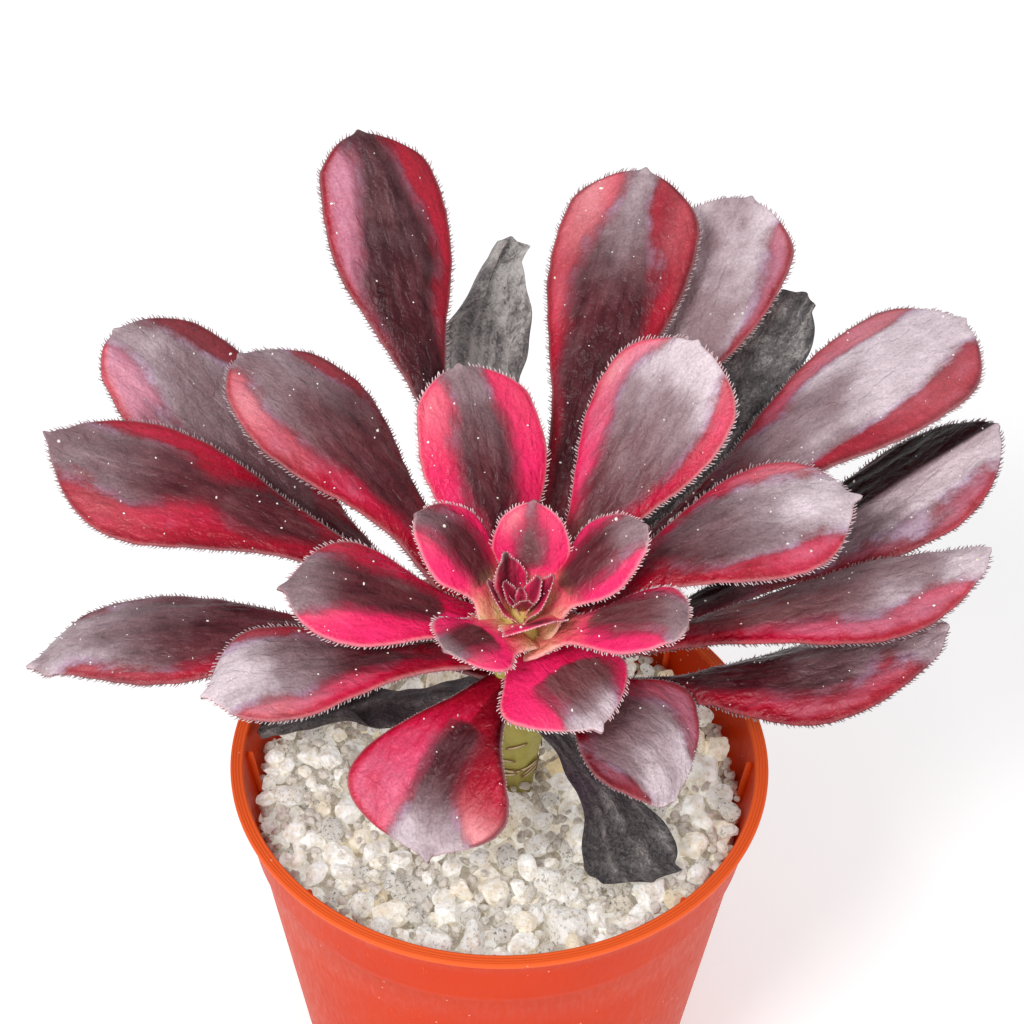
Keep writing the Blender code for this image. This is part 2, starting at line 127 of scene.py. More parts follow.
LOOKS = {
    "leaf_back_left": Look(0.78, 4.2, -0.04, 0.02, 0.28, 0.2, 0.45, 0.5, 0.46, 0.2, 0.5,
        wrinkle=0.22, ripple=0.2, film_left=0.75, round_end=0.8),
    "leaf_back_right": Look(0.56, 3.2, -0.04, 0.06, 0.42, 0.8, 0.66, 0.56, 0.44, 0.6, 0.75,
        wrinkle=0.12, film_left=0.15, round_end=0.8),
    "leaf_back_far": Look(0.95, 7.5, 0.2, 0, 0.7, 0.95, 0.05, 0.55, 0.45, 0.95, 0.3,
        wrinkle=0.12, film_left=0.6, film_right=0.6, round_end=0.8),
    "leaf_far_left": Look(0.74, 5, -0.02, 0, 0.42, 0.8, 0.35, 0.55, 0.34, 0.6, 0.2,
        wrinkle=0.3, ripple=0.5, film_left=0.8, round_end=0.7),
    "leaf_upper_left": Look(0.66, 4.6, -0.14, 0.05, 0.56, 0.72, 0.5, 0.58, 0.4, 0.65, 0.5,
        film_left=0.3, round_end=0.7),
    "leaf_left": Look(0.46, 6, -0.2, 0.24, 0.5, 0.62, 0.62, 0.52, 0.5, 0.2, 0.55,
        wrinkle=0.12, ripple=0.2, point=1.8, film_left=0.1, round_end=0.25),
    "leaf_mid_left": Look(0.5, 5, -0.02, 0.2, 0.5, 0.66, 0.62, 0.94, 0.66, 0.35, 0.2,
        rim=0.4, wrinkle=0.06, point=1.8, hook=-1, film_right=0.2, round_end=0.45),
    "leaf_low_left": Look(0.9, 4, -0.22, 0, 0.44, 0.85, 0.5, 0.52, 0.3, 0.3, 0.7,
        wrinkle=0.3, ripple=0.5, point=2.2, hook=-3.2, film_left=0.2, film_right=0.4, round_end=0.4),
    "leaf_lower_left": Look(0.58, 5.5, 0, 0.06, 0.4, 1.12, 0.42, 0.66, 0.58, 0.7, 0.5,
        point=1.8, hook=-1, film_left=0.4, film_right=0.3, round_end=0.4),
    "leaf_front": Look(0.42, 8, 0.04, 0.2, 0.44, 0.88, 0.52, 0.44, 0.78, 1, 1,
        point=1.5, fringe=0.35, film_right=0.4, round_end=0.45),
    "leaf_front_short": Look(0.42, 4.5, 0.14, 0.26, 0.75, 1.1, 0.5, 0.92, 1, 0.2, 0.1,
        rim=0.4, wrinkle=0.06, point=1.5, clasp=5.5),
    "leaf_front_heart": Look(0.52, 4, -0.05, 0.32, 0.46, 0.65, 0.72, 1, 1, 0.3, 0,
        green=0.7, rim=0.4, wrinkle=0.05, clasp=6.2),
    "leaf_front_right": Look(0.74, 6, -0.1, 0.1, 0.56, 1.1, 0.12, 0.42, 0.34, 0.1, 0.2,
        wrinkle=0.12, ripple=0.2, fringe=0.5, film_left=0.5, film_right=0.4),
    "leaf_right_short": Look(0.56, 4.5, 0.12, 0.24, 0.68, 0.7, 0.6, 0.92, 1, 0.35, 0,
        green=0.6, rim=0.4, wrinkle=0.08, clasp=6.2),
    "leaf_right_mid": Look(0.62, 5, 0.12, 0.06, 0.4, 1.1, 0.32, 0.66, 0.58, 0.5, 0.3,
        point=2, film_left=0.2, film_right=0.25),
    "leaf_right_upper": Look(0.66, 7, 0.06, 0.02, 0.55, 1.15, 0.18, 0.5, 0.5, 0.62, 0.7,
        wrinkle=0.08, film_left=0.35, film_right=0.15, round_end=0.8),
    "leaf_right_behind": Look(0.95, 8, 0.25, 0, 0.2, 1.08, 0.1, 0.1, 0.45, 0.95, 0.2,
        wrinkle=0.35, ripple=0.4, shade=1, film_right=0.5, round_end=0.4),
    "leaf_right_low": Look(0.84, 5, 0.4, 0, 0.75, 1, 0.4, 0.1, 0.62, 0.6, 0.5,
        wrinkle=0.15, ripple=0.4, film_right=0.5, slim=0.78, round_end=0.4),
    "leaf_right_lowest": Look(0.84, 5, 0.42, 0.05, 0.36, 0.8, 0.45, 0.1, 0.46, 0.3, 0.4,
        wrinkle=0.35, ripple=0.6, film_right=0.3, slim=0.8, round_end=0.4),
    "leaf_upper_middle": Look(0.54, 3.4, 0.02, 0.06, 0.42, 0.72, 0.56, 0.92, 0.84, 0.6, 0.3,
        green=0.3, rim=0.4, wrinkle=0.08, clasp=4.5, round_end=0.8),
    "leaf_upper_right": Look(0.66, 6, -0.02, 0.04, 0.62, 1.05, 0.3, 0.86, 0.66, 0.9, 0.4,
        green=0.3, rim=0.4, wrinkle=0.12, clasp=4.5, film_left=0.45, round_end=0.8),
    "leaf_inner_left": Look(0.56, 3.5, -0.02, 0.2, 0.5, 0.45, 0.6, 1, 0.94, 0.25, 0,
        green=0.9, rim=0.5, wrinkle=0.05, clasp=5.6, fringe=0.8),
    "leaf_inner_back": Look(0.5, 1.6, 0, 0.3, 0.7, 0.6, 0.3, 1.02, 1.02, 0.65, 0,
        green=1.3, rim=0.6, wrinkle=0.05, clasp=5, fringe=0.8, round_end=0.7),
    "leaf_inner_right": Look(0.52, 3.5, 0.06, 0.2, 0.56, 0.66, 0.5, 1, 1.02, 0.4, 0,
        green=0.8, rim=0.5, wrinkle=0.06, clasp=5.6, fringe=0.8),
    "heart_leaf_back": Look(0.46, 1.2, 0.12, 0.12, 0.16, 0.1, 0.9, 0.84, 0.95, 0.3, 0,
        green=0.6, rim=0.4, ripple=0.05, point=0.4, fold=0.3, **HEART),
    "heart_leaf_front": Look(0.3, 0.5, 0, 0.35, 0.6, 0.1, 0.9, 0.94, 0.94, 0.4, 0,
        green=0.9, rim=0.5, ripple=0.05, point=0.4, clasp=4.6, fold=0.15, **HEART),
    "heart_leaf_bud": Look(0.4, 0.8, 0, 0.2, 0.25, 0, 0.9, 0.92, 0.92, 0.2, 0,
        green=0.6, rim=0.5, ripple=0.02, point=0.3, clasp=1.8, fold=0.5, **HEART),
}
LOOKS["heart_leaf_left"] = LOOKS["heart_leaf_right"] = Look(
    0.4, 0.6, 0, 0.16, 0.2, 0.1, 0.9, 0.92, 0.92, 0.4, 0,
    green=0.7, rim=0.4, ripple=0.05, point=0.3, clasp=3.4, fold=0.45, **HEART,
)

Dried = namedtuple("Dried", "curl_left curl_right curl_from flat waist blunt wrinkle pucker tint dust")
# curl_left, curl_right: how far each margin rolls in at the end, in degrees; curl_from: where the
# roll begins; flat: share of the half blade that it leaves flat; waist: how much narrower the middle
# has shrunk; blunt: half width in mm that the end keeps
# wrinkle, pucker: height of its long wrinkles and of its cross folds, in mm
# tint: how much purple is left in it; dust: how pale it is with dust
DRIED = {
    "dry_leaf_back": Dried(215, 40, 0.66, 0.05, 0.0, 3.6, 0.20, 0.25, 0.0, 0.9),
    "dry_leaf_right": Dried(70, 70, 0.30, 0.5, 0.0, 3.2, 0.22, 0.50, 0.0, 0.3),
    "dry_leaf_left": Dried(230, 170, 0.40, 0.3, 0.0, 4.2, 0.25, 0.35, 0.5, 0.1),
    "dry_leaf_front": Dried(40, 20, 0.55, 0.7, 0.10, 5.0, 0.20, 0.30, 0.85, 0.15),
}


# --- small helpers ---


def linear(colour):
    """An sRGB hex colour such as "#E2491E", as linear RGBA."""
    shares = [int(colour[i : i + 2], 16) / 255 for i in (1, 3, 5)]
    return (*[s / 12.92 if s <= 0.04045 else ((s + 0.055) / 1.055) ** 2.4 for s in shares], 1.0)


def per_mm(size):
    """The scale of a pattern whose features are this many mm across."""
    return 1 / (size * MM)


def seeded(name):
    """A random source that is always the same for the same piece."""
    return np.random.default_rng(sum((i + 1) * ord(c) for i, c in enumerate(name)))


def smooth(share):
    """An eased share: level at 0 and at 1, and kept between them."""
    share = np.clip(share, 0, 1)
    return share * share * (3 - 2 * share)


def unit(vectors):
    """The same vectors, 1 long."""
    return vectors / np.maximum(np.linalg.norm(vectors, axis=-1, keepdims=True), 1e-12)


LATTICE = np.random.default_rng(20).uniform(-1, 1, (64, 64, 64))


def noise(x, y, z=0.0):
    """Smooth noise from about -1 to 1, with one unit between its lattice points: with places in mm,
    x / 7 gives patches about 7 mm wide, and a number added to it moves them elsewhere."""
    points = np.stack(np.broadcast_arrays(x, y, z), -1).astype(float)
    base = np.floor(points).astype(int)
    part = smooth(points - base)
    total = 0
    for corner in np.ndindex(2, 2, 2):
        at = (base + corner) % len(LATTICE)
        weight = np.prod(np.where(corner, part, 1 - part), axis=-1)
        total = total + weight * LATTICE[at[..., 0], at[..., 1], at[..., 2]]
    return total


def smooth_curve(knots, values, at):
    """Values at new places on a smooth curve through the values at the knots."""
    slopes = np.gradient(values, knots, axis=0)
    i = np.clip(np.searchsorted(knots, at) - 1, 0, len(knots) - 2)
    step = knots[i + 1] - knots[i]
    t = (at - knots[i]) / step
    if values.ndim > 1:
        t, step = t[:, None], step[:, None]
    near = (1 + 2 * t) * (1 - t) ** 2 * values[i] + t * (1 - t) ** 2 * step * slopes[i]
    far = t * t * (3 - 2 * t) * values[i + 1] - t * t * (1 - t) * step * slopes[i + 1]
    return near + far


def turns(count):
    """Evenly spaced angles once round a circle."""
    return 2 * math.pi * np.arange(count) / count


def round_axis(radius, angle, height, axis=(0, 0)):
    """Points at these radii and angles round an upright axis."""
    x, y = axis[0] + radius * np.cos(angle), axis[1] + radius * np.sin(angle)
    return np.stack(np.broadcast_arrays(x, y, height), -1)


def ring_index(rings, around):
    """The numbers of a tube's points, ring by ring, and the number of the next point round it."""
    index = np.arange(rings * around).reshape(rings, around)
    return index, np.roll(index, -1, axis=1)


def quads(*corners):
    """Four-sided faces, from a grid of point numbers for each corner."""
    return np.stack(corners, -1).reshape(-1, 4).tolist()


def merge(shapes):
    """The points and the faces of many small shapes, each given as (points, faces), in one."""
    starts = np.cumsum([0] + [len(points) for points, _ in shapes])
    faces = np.vstack([each + start for (_, each), start in zip(shapes, starts)])
    return np.vstack([points for points, _ in shapes]), faces.tolist()


def new_piece(name, slot, points, faces, finishes, finish_of=None):
    """A smooth mesh piece. Points are in mm."""
    mesh = bpy.data.meshes.new(name)
    mesh.from_pydata(np.asarray(points) * MM, [], faces)
    for finish in finishes:
        mesh.materials.append(finish)
    if finish_of is not None:
        mesh.polygons.foreach_set("material_index", np.asarray(finish_of, np.int32))
    mesh.shade_smooth()
    mesh.update()
    made = bpy.data.objects.new(name, mesh)
    bpy.context.scene.collection.objects.link(made)
    return made


def give(piece, **values):
    """Stores one number a point, by name, for the materials to read."""
    for name, numbers in values.items():
        layer = piece.data.attributes.new(name, "FLOAT", "POINT")
        layer.data.foreach_set("value", np.asarray(numbers, np.float32))


def place_on_map(piece, name, across, along):
    """Stores a flat map of the piece, a place for each point, for patterns that follow its length."""
    layer = piece.data.uv_layers.new(name=name)
    corners = np.empty(len(piece.data.loops), np.int32)
    piece.data.loops.foreach_get("vertex_index", corners)
    places = np.stack([across, along], -1)[corners]
    layer.uv.foreach_set("vector", places.astype(np.float32).ravel())


# --- materials ---


def fill(shader_node, inputs):
    """Sets a node's inputs, given by name or number or in order. Each is a socket to link from, a
    value or a hex colour."""
    for name, value in inputs.items() if isinstance(inputs, dict) else enumerate(inputs):
        if isinstance(value, bpy.types.NodeSocket):
            shader_node.id_data.links.new(value, shader_node.inputs[name])
        else:
            value = linear(value) if isinstance(value, str) else value
            shader_node.inputs[name].default_value = value


def add_node(tree, kind, inputs=(), out=0, stops=(), **settings):
    """Adds a shader node and gives one of its outputs. Stops are a ramp's (place, colour) pairs."""
    made = tree.nodes.new("ShaderNode" + kind)
    for name, value in settings.items():
        setattr(made, name, value)
    fill(made, inputs)
    if stops:
        points = made.color_ramp.elements
        while len(points) < len(stops):
            points.new(1.0)
        for point, (place, colour) in zip(points, stops):
            point.position = place
            point.color = linear(colour)
    return made.outputs[out]


def new_finish(name, **constants):
    """A material, what adds a node to it, and its shader with the constants set on its own sockets."""
    made = bpy.data.materials.new(name)
    made.use_nodes = True
    shader = made.node_tree.nodes["Principled BSDF"]
    fill(shader, {socket.replace("_", " "): value for socket, value in constants.items()})
    return made, functools.partial(add_node, made.node_tree), shader


def add_up(node, *patterns):
    """The sum of patterns, each given with the number that it is multiplied by."""
    total = 0.0
    for pattern, times in patterns:
        total = node("Math", (pattern, times, total), operation="MULTIPLY_ADD")
    return total


def lay_coats(node, colour, *coats):
    """A colour under coats of others, each given as (how much it covers, colour)."""
    for cover, over in coats:
        colour = node("Mix", {0: cover, 6: colour, 7: over}, 2, data_type="RGBA")
    return colour


# the third and fourth masks are painted sheen; the sixth is pallor, painted lighter on left margins where
# light falls
LEAF_MASKS = ("band", "tone", "bloom", "film", "heat", "pale", "green", "rim", "under")


def living_leaf_skin():
    """A live aeonium leaf, waxy over a fine grain: it gives the eye a band from wine to grey brown
    between hot pink and crimson margins, a grey sheen painted into the colour that stands for the sky's
    reflection, with a painted lilac sheen at its border and on some margins, margins painted paler on
    their left where light falls, and fine creases and pores. The pores are really a tenth of a
    millimetre across; they are drawn as coarse as they can be seen."""
    made, node, shader = new_finish("living_leaf_skin", IOR=1.42, Specular_IOR_Level=0.28)
    where = node("TexCoord", out="Object")
    mask = {name: node("Attribute", out="Fac", attribute_name="leaf_" + name) for name in LEAF_MASKS}
    flat = node("UVMap", uv_map="leaf_map")
    drawn, far_drawn = (  # the creases run 1.8 times as long as they are wide, the fibres 8 times
        node("Mapping", {"Vector": flat, "Scale": (1, 1 / times, 1)}) for times in (1.8, 8)
    )
    cloud = node("TexNoise", {"Vector": where, "Scale": per_mm(4), "Detail": 3})
    grain = node("TexNoise", {"Vector": where, "Scale": per_mm(0.42), "Detail": 2, "Roughness": 0.5})
    crease = node(
        "TexNoise",
        {"Vector": drawn, "Scale": per_mm(1.5), "Detail": 2.5, "Roughness": 0.5, "Distortion": 0.6},
    )
    fibre = node("TexNoise", {"Vector": far_drawn, "Scale": per_mm(1.3), "Detail": 3, "Roughness": 0.55})

    heat = add_up(node, (mask["heat"], 1), (fibre, 0.15), (cloud, 0.22), (grain, 0.06))
    # painted lilac sheen over the margins, standing for the sky's reflection
    film = add_up(node, (mask["film"], 1), (cloud, 0.6), (fibre, 0.3))
    crimson = ((0, "#360309"), (0.25, "#720416"), (0.5, "#A80A28"), (0.75, "#D61048"), (1, "#F82A6C"))
    margin = lay_coats(
        node,
        node("ValToRGB", [node("MapRange", (heat, 0.2, 1.2, 0, 1))], stops=crimson),
        # pallor towards the tip, painted lighter on left margins where light falls
        (mask["pale"], "#F4989E"),
        # the painted lilac sheen
        (node("MapRange", (film, 0.6, 1.4, 0, 0.8)), "#CC93AC"),
    )

    tone = add_up(node, (mask["tone"], 1), (crease, 0.2), (fibre, 0.6), (cloud, 0.2))
    wine = ((0, "#220509"), (0.3, "#43121A"), (0.6, "#662C33"), (1, "#8E5C5C"))
    middle = node("ValToRGB", [node("MapRange", (tone, 0.5, 1.5, 0, 1))], stops=wine)
    torn = add_up(node, (mask["band"], 1), (fibre, 2.2), (crease, 0.8), (grain, 0.7), (cloud, 2.2))
    band = node("MapRange", (torn, 1, 4.8), interpolation_type="SMOOTHSTEP")
    off_border = node("Math", [node("Math", (band, 0.5), operation="SUBTRACT")], operation="ABSOLUTE")

    # painted sheen: a grey reflection of the sky painted into the colour, with a painted lilac sheen along
    # its border
    sky_sheen_amount = add_up(node, (mask["bloom"], 1), (fibre, 0.25), (crease, 0.15), (grain, 0.1), (cloud, 0.35))
    sky_sheen_cover = node("MapRange", (sky_sheen_amount, 0.46, 1.40, 0, 0.94))
    sky_sheen_cover = node("Math", (sky_sheen_cover, node("MapRange", (band, 0.2, 1, 0.06, 1))), operation="MULTIPLY")
    sky_sheen_colour = node(
        "ValToRGB",
        [add_up(node, (mask["bloom"], 0.7), (cloud, 0.3))],
        stops=((0.25, "#84696C"), (0.7, "#AA959A"), (0.95, "#E6D4DA")),
    )
    lilac_sheen = sky_sheen_cover
    for edge in ((off_border, 0.1, 0.5, 0.6, 0), (cloud, 0.4, 0.6, 0, 1)):
        lilac_sheen = node("Math", (lilac_sheen, node("MapRange", edge)), operation="MULTIPLY")

    skin = lay_coats(
        node,
        margin,
        (band, middle),
        (node("MapRange", (off_border, 0, 0.5, 0.5, 0)), lay_coats(node, "#560C1A", (cloud, "#963240"))),
        (mask["green"], lay_coats(node, "#D8BC70", (cloud, "#F8E6B4"))),
        # the painted grey sheen and its painted lilac border
        (sky_sheen_cover, sky_sheen_colour),
        (lilac_sheen, "#C0A4D0"),
        (mask["rim"], "#FFCFCF"),
        (mask["under"], "#7C3A3E"),
    )
    mottle = node("MapRange", (grain, 0.3, 0.7, 0.86, 1.12))
    skin = node("Mix", {0: 1, 6: skin, 7: mottle}, 2, data_type="RGBA", blend_type="MULTIPLY")
    gloss = add_up(node, (cloud, 0.3), (grain, 0.3))
    creased = node("Bump", {"Strength": 0.8, "Distance": 0.9 * MM, "Height": crease})
    pored = node("Bump", {"Strength": 0.6, "Distance": 0.16 * MM, "Height": grain, "Normal": creased})
    roughness = node("MapRange", (gloss, 0.2, 0.4, 0.26, 0.42))
    fill(shader, {"Base Color": skin, "Roughness": roughness, "Normal": pored})
    return made


def margin_hair():
    """A stiff glassy leaf hair: dusky or pink at its foot, pale at its end."""
    made, node, shader = new_finish("margin_hair", Roughness=0.4, IOR=1.45)
    along = node("Attribute", out="Fac", attribute_name="hair_along")
    tone = node("Attribute", out="Fac", attribute_name="hair_tone")
    foot = lay_coats(node, "#3E1C24", (tone, "#F8B4BE"))
    end = lay_coats(node, "#8E787C", (tone, "#FFFAF8"))
    fill(shader, {"Base Color": lay_coats(node, foot, (along, end))})
    return made


def dried_leaf_skin():
    """A dead, shrivelled leaf: it gives the eye matt charcoal with a fine crinkle, paler and dustier
    along its ridges, and what is left of its purple."""
    made, node, shader = new_finish("dried_leaf_skin", IOR=1.45)
    where = node("TexCoord", out="Object")
    ridge = node("Attribute", out="Fac", attribute_name="leaf_ridge")
    stain = node("Attribute", out="Fac", attribute_name="leaf_stain")
    drawn = node("Mapping", {"Vector": node("UVMap", uv_map="leaf_map"), "Scale": (1, 0.55, 1)})
    cloud = node("TexNoise", {"Vector": where, "Scale": per_mm(3.5), "Detail": 4})
    crinkle = node(
        "TexNoise",
        {"Vector": drawn, "Scale": per_mm(0.8), "Detail": 4, "Roughness": 0.6, "Distortion": 1.4},
    )
    grain = node("TexNoise", {"Vector": where, "Scale": per_mm(0.4), "Detail": 3, "Roughness": 0.7})
    tone = add_up(node, (cloud, 0.4), (crinkle, 0.8), (grain, 0.5), (ridge, 0.4))
    charcoal = ((0, "#181617"), (0.35, "#454142"), (0.65, "#767170"), (1, "#C4BEBA"))
    char = node("ValToRGB", [node("MapRange", (tone, 0.55, 1.45, 0, 1))], stops=charcoal)
    folded = node("Bump", {"Strength": 1, "Distance": 0.9 * MM, "Height": crinkle})
    rough = node("Bump", {"Strength": 0.6, "Distance": 0.2 * MM, "Height": grain, "Normal": folded})
    roughness = node("MapRange", (crinkle, 0.3, 0.7, 0.42, 0.75))
    skin = lay_coats(node, char, (stain, "#3A1C30"))
    fill(shader, {"Base Color": skin, "Roughness": roughness, "Normal": rough})
    return made


def moulded_polypropylene():
    """Injection-moulded terracotta-orange polypropylene: it gives the eye a satin, slightly cloudy
    skin with fine scuffs, a lip painted paler as a highlight where it catches the light, and specks of
    lime from watering."""
    made, node, shader = new_finish("moulded_polypropylene", IOR=1.49, Specular_IOR_Level=0.10)
    where = node("TexCoord", out="Object")
    # the lip's painted highlight: the lip is painted lighter where it catches the light
    rim = node("Attribute", out="Fac", attribute_name="pot_rim")
    cloud = node("TexNoise", {"Vector": where, "Scale": per_mm(22), "Detail": 3})
    speck = node("TexVoronoi", {"Vector": where, "Scale": per_mm(3.2)})
    brushed = node("Mapping", {"Vector": where, "Scale": (1, 1, 0.25), "Rotation": (0.3, 0.2, 0)})
    scuff = node("TexNoise", {"Vector": brushed, "Scale": per_mm(0.9), "Detail": 5, "Roughness": 0.65})
    orange = lay_coats(
        node,
        "#BE2A00",
        (cloud, "#D03C00"),
        # painted highlight on the lip
        (rim, "#F46A32"),
        (node("MapRange", (scuff, 0.62, 0.78, 0, 0.3)), "#FA8C5C"),
        (node("MapRange", (speck, 0.03, 0.07, 0.5, 0)), "#F8DCCB"),
    )
    roughness = node("MapRange", (scuff, 0.3, 0.75, 0.34, 0.55))
    scuffed = node("Bump", {"Strength": 0.25, "Distance": 0.08 * MM, "Height": scuff})
    fill(shader, {"Base Color": orange, "Roughness": roughness, "Normal": scuffed})
    return made


PUMICE_GLOW = 0.32


def crushed_pumice():
    """Crushed pumice and a little granite: it gives the eye dusty white grains, some cream and some
    grey, pitted all over and peppered with dark crystals. Light wanders through the glassy froth, so
    that its shadows are never deep; a faint glow stands for that."""
    made, node, shader = new_finish("crushed_pumice", IOR=1.5, Roughness=0.9, Emission_Strength=PUMICE_GLOW)
    where = node("TexCoord", out="Object")
    tint = node("Attribute", out="Fac", attribute_name="grain_tint")
    grey = node("Attribute", out="Fac", attribute_name="grain_grey")
    cloud = node("TexNoise", {"Vector": where, "Scale": per_mm(1.6), "Detail": 5, "Roughness": 0.65})
    crystal = node("TexNoise", {"Vector": where, "Scale": per_mm(0.6), "Detail": 3.5, "Roughness": 0.65})
    pits = node("TexNoise", {"Vector": where, "Scale": per_mm(0.7), "Detail": 5, "Roughness": 0.72})
    pepper = node("MapRange", (crystal, 0.54, 0.64, 0, 0.85))
    darker = node("MapRange", (grey, 0, 1, 0.35, 1))
    stone = lay_coats(
        node,
        "#E4DBCC",
        (node("MapRange", (cloud, 0.4, 0.56, 0, 1)), "#FFFEFA"),
        (tint, "#F2DCB0"),
        (node("MapRange", (grey, 0, 1, 0, 0.7)), "#B9B4AC"),
        (node("Math", (pepper, darker), operation="MULTIPLY"), "#56514D"),
    )
    pitted = node("Bump", {"Strength": 1, "Distance": 0.6 * MM, "Height": pits})
    fill(shader, {"Base Color": stone, "Emission Color": stone, "Normal": pitted})
    return made


def pumice_fines():
    """The dust and crumbs that lie between the grains: pale brown where light reaches them."""
    made, node, shader = new_finish("pumice_fines", Roughness=0.95)
    where = node("TexCoord", out="Object")
    crumb = node("TexNoise", {"Vector": where, "Scale": per_mm(0.9), "Detail": 5, "Roughness": 0.7})
    brown = lay_coats(node, "#D4CBBC", (node("MapRange", (crumb, 0.35, 0.65, 0, 1)), "#FFFAF2"))
    crumbly = node("Bump", {"Strength": 1, "Distance": 0.5 * MM, "Height": crumb})
    fill(shader, {"Base Color": brown, "Normal": crumbly})
    return made


def damp_potting_mix():
    """Peat and fine bark, dark and crumbly."""
    made, node, shader = new_finish("damp_potting_mix", Roughness=0.92)
    where = node("TexCoord", out="Object")
    crumb = node("TexNoise", {"Vector": where, "Scale": per_mm(1.6), "Detail": 6, "Roughness": 0.7})
    peat = lay_coats(node, "#171210", (crumb, "#5A4A3E"))
    crumbly = node("Bump", {"Strength": 1, "Distance": 0.6 * MM, "Height": crumb})
    fill(shader, {"Base Color": peat, "Normal": crumbly})
    return made


def green_stem_skin():
    """Young aeonium stem: it gives the eye a smooth yellow-green skin, brown towards the grit, with
    thin scars, and pale gold where the youngest leaves leave it."""
    made, node, shader = new_finish("green_stem_skin", Roughness=0.4, IOR=1.42)
    where = node("TexCoord", out="Object")
    height = node("SeparateXYZ", [where], "Z")
    scar = node("Attribute", out="Fac", attribute_name="stem_scar")
    cloud = node("TexNoise", {"Vector": where, "Scale": per_mm(2.5), "Detail": 4})
    green = lay_coats(
        node,
        "#A8A040",
        (cloud, "#D6D27A"),
        (node("MapRange", (height, 72 * MM, 80 * MM, 0.45, 0)), "#8A6A3A"),
        (node("MapRange", (height, 104 * MM, 110 * MM, 0, 0.75)), "#E6C878"),
        (scar, "#94783C"),
    )
    waved = node("Bump", {"Strength": 0.4, "Distance": 0.2 * MM, "Height": cloud})
    fill(shader, {"Base Color": green, "Normal": waved})
    return made


def peeling_bark():
    """Thin bark, split and curled off the stem: it gives the eye tan paper with browner edges."""
    made, node, shader = new_finish("peeling_bark", Roughness=0.65)
    where = node("TexCoord", out="Object")
    edge = node("Attribute", out="Fac", attribute_name="bark_edge")
    fibre = node("TexNoise", {"Vector": where, "Scale": per_mm(0.5), "Detail": 3})
    tan = lay_coats(node, "#D0B984", (fibre, "#F6EAC8"), (edge, "#9A7848"))
    ribbed = node("Bump", {"Strength": 0.6, "Distance": 0.15 * MM, "Height": fibre})
    fill(shader, {"Base Color": tan, "Normal": ribbed})
    return made


FLOOR_GLOW = 0.32


def studio_floor():
    """A plain white sweep, lit a little from below like a light table."""
    made, node, shader = new_finish("studio_floor", Roughness=0.95, Emission_Strength=FLOOR_GLOW)
    where = node("TexCoord", out="Object")
    tooth = node("TexNoise", {"Vector": where, "Scale": per_mm(60), "Detail": 2})
    white = lay_coats(node, "#F9F9F8", (tooth, "#FCFCFB"))
    fill(shader, {"Base Color": white, "Emission Color": white})
    return made


# --- leaves ---

WELD = 0.001 * MM
RING_POINTS = 8  # round a leaf's CAD section


def stem_top():
    """The stem's highest point, over the middle of it."""
    return max((v.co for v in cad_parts["stem"].data.vertices), key=lambda place: place.z)


def walk_ring(layer):
    """The points of one section in order round it."""
    ring = [layer[0]]
    while len(ring) < len(layer):
        beside = [e.other_vert(ring[-1]) for e in ring[-1].link_edges]
        ring.append(next(v for v in beside if v in layer and v not in ring))
    return ring


def layers_from(pole):
    """The points of a leaf in layers, by how many edges they are from one of its ends."""
    layers, seen = [[pole]], {pole}
    while layers[-1]:
        beside = dict.fromkeys(e.other_vert(v) for v in layers[-1] for e in v.link_edges)
        layers.append([v for v in beside if v not in seen])
        seen.update(beside)
    return layers[:-1]


def read_ribs(node):
    """A leaf's sections from its CAD solid, from foot to tip, as arrays in mm: the middles, the unit
    vectors up and to the left, the half widths, the thicknesses and the cups, and the tip's place."""
    build = bmesh.new()
    build.from_mesh(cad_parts[node].data)
    bmesh.ops.remove_doubles(build, verts=build.verts, dist=WELD)
    axis = stem_top().xy
    for pole in sorted(build.verts, key=lambda v: (v.co.xy - axis).length):
        layers = layers_from(pole)
        if {len(layer) for layer in layers[1:-1]} == {RING_POINTS}:
            break
    half_way = RING_POINTS // 2
    rings = []
    for layer in layers[1:-1]:
        ring = walk_ring(layer)
        first = max(range(half_way), key=lambda i: (ring[i].co - ring[i + half_way].co).length)
        ring = [np.array(v.co) / MM for v in ring[first:] + ring[:first]]
        one, other = ring[half_way // 2], ring[half_way + half_way // 2]
        top, bottom = (one, other) if one[2] > other[2] else (other, one)
        rings.append((ring[0], ring[half_way], top, bottom))
    tip = np.array(layers[-1][0].co) / MM
    build.free()
    one, other, top, bottom = (np.array(each) for each in zip(*rings))
    middle = (top + bottom) / 2
    up = unit(top - bottom)
    forward = unit(np.gradient(middle, axis=0))
    left = unit(np.cross(up, forward))
    span = (one - other) / 2
    swapped = np.sum(span * left, 1) < 0
    span[swapped] *= -1
    left = unit(span - up * np.sum(span * up, 1, keepdims=True))
    half = np.linalg.norm(span, axis=1)
    cup = np.sum(((one + other) / 2 - middle) * up, 1) / half
    return middle, up, left, half, np.linalg.norm(top - bottom, axis=1), cup, tip


def live_outline(look, half, y, length):
    """A live leaf's half widths, kept broad where its foot clasps the stem and round at its end."""
    clasp = look.clasp * (1 - smooth((y - ROOTED) / CLASP_REACH))
    half = (half**4 + clasp**4) ** 0.25
    arc = look.round_end * half.max()
    left_over = np.minimum(length - y, arc)
    near_end = 1 - smooth((length - y - 0.6 * arc) / arc)
    return (half**6 + ((2 * arc * left_over - left_over**2) * near_end) ** 3) ** (1 / 6)


def dried_outline(dried, half, v, y, length):
    """A dried leaf's half widths, drawn in at its waist and blunt at its end."""
    half = half * (1 - dried.waist * np.exp(-(((v - WAIST_AT) / WAIST_REACH) ** 2)))
    kept = smooth((v - 0.25) / 0.3) if dried.waist == 0 else smooth((v - 0.8) / 0.15)
    return np.maximum(half, dried.blunt * np.sqrt(smooth((length - y) / BLUNT_REACH)) * kept)


Rows = namedtuple("Rows", "v y length middle up left forward thick cup half")


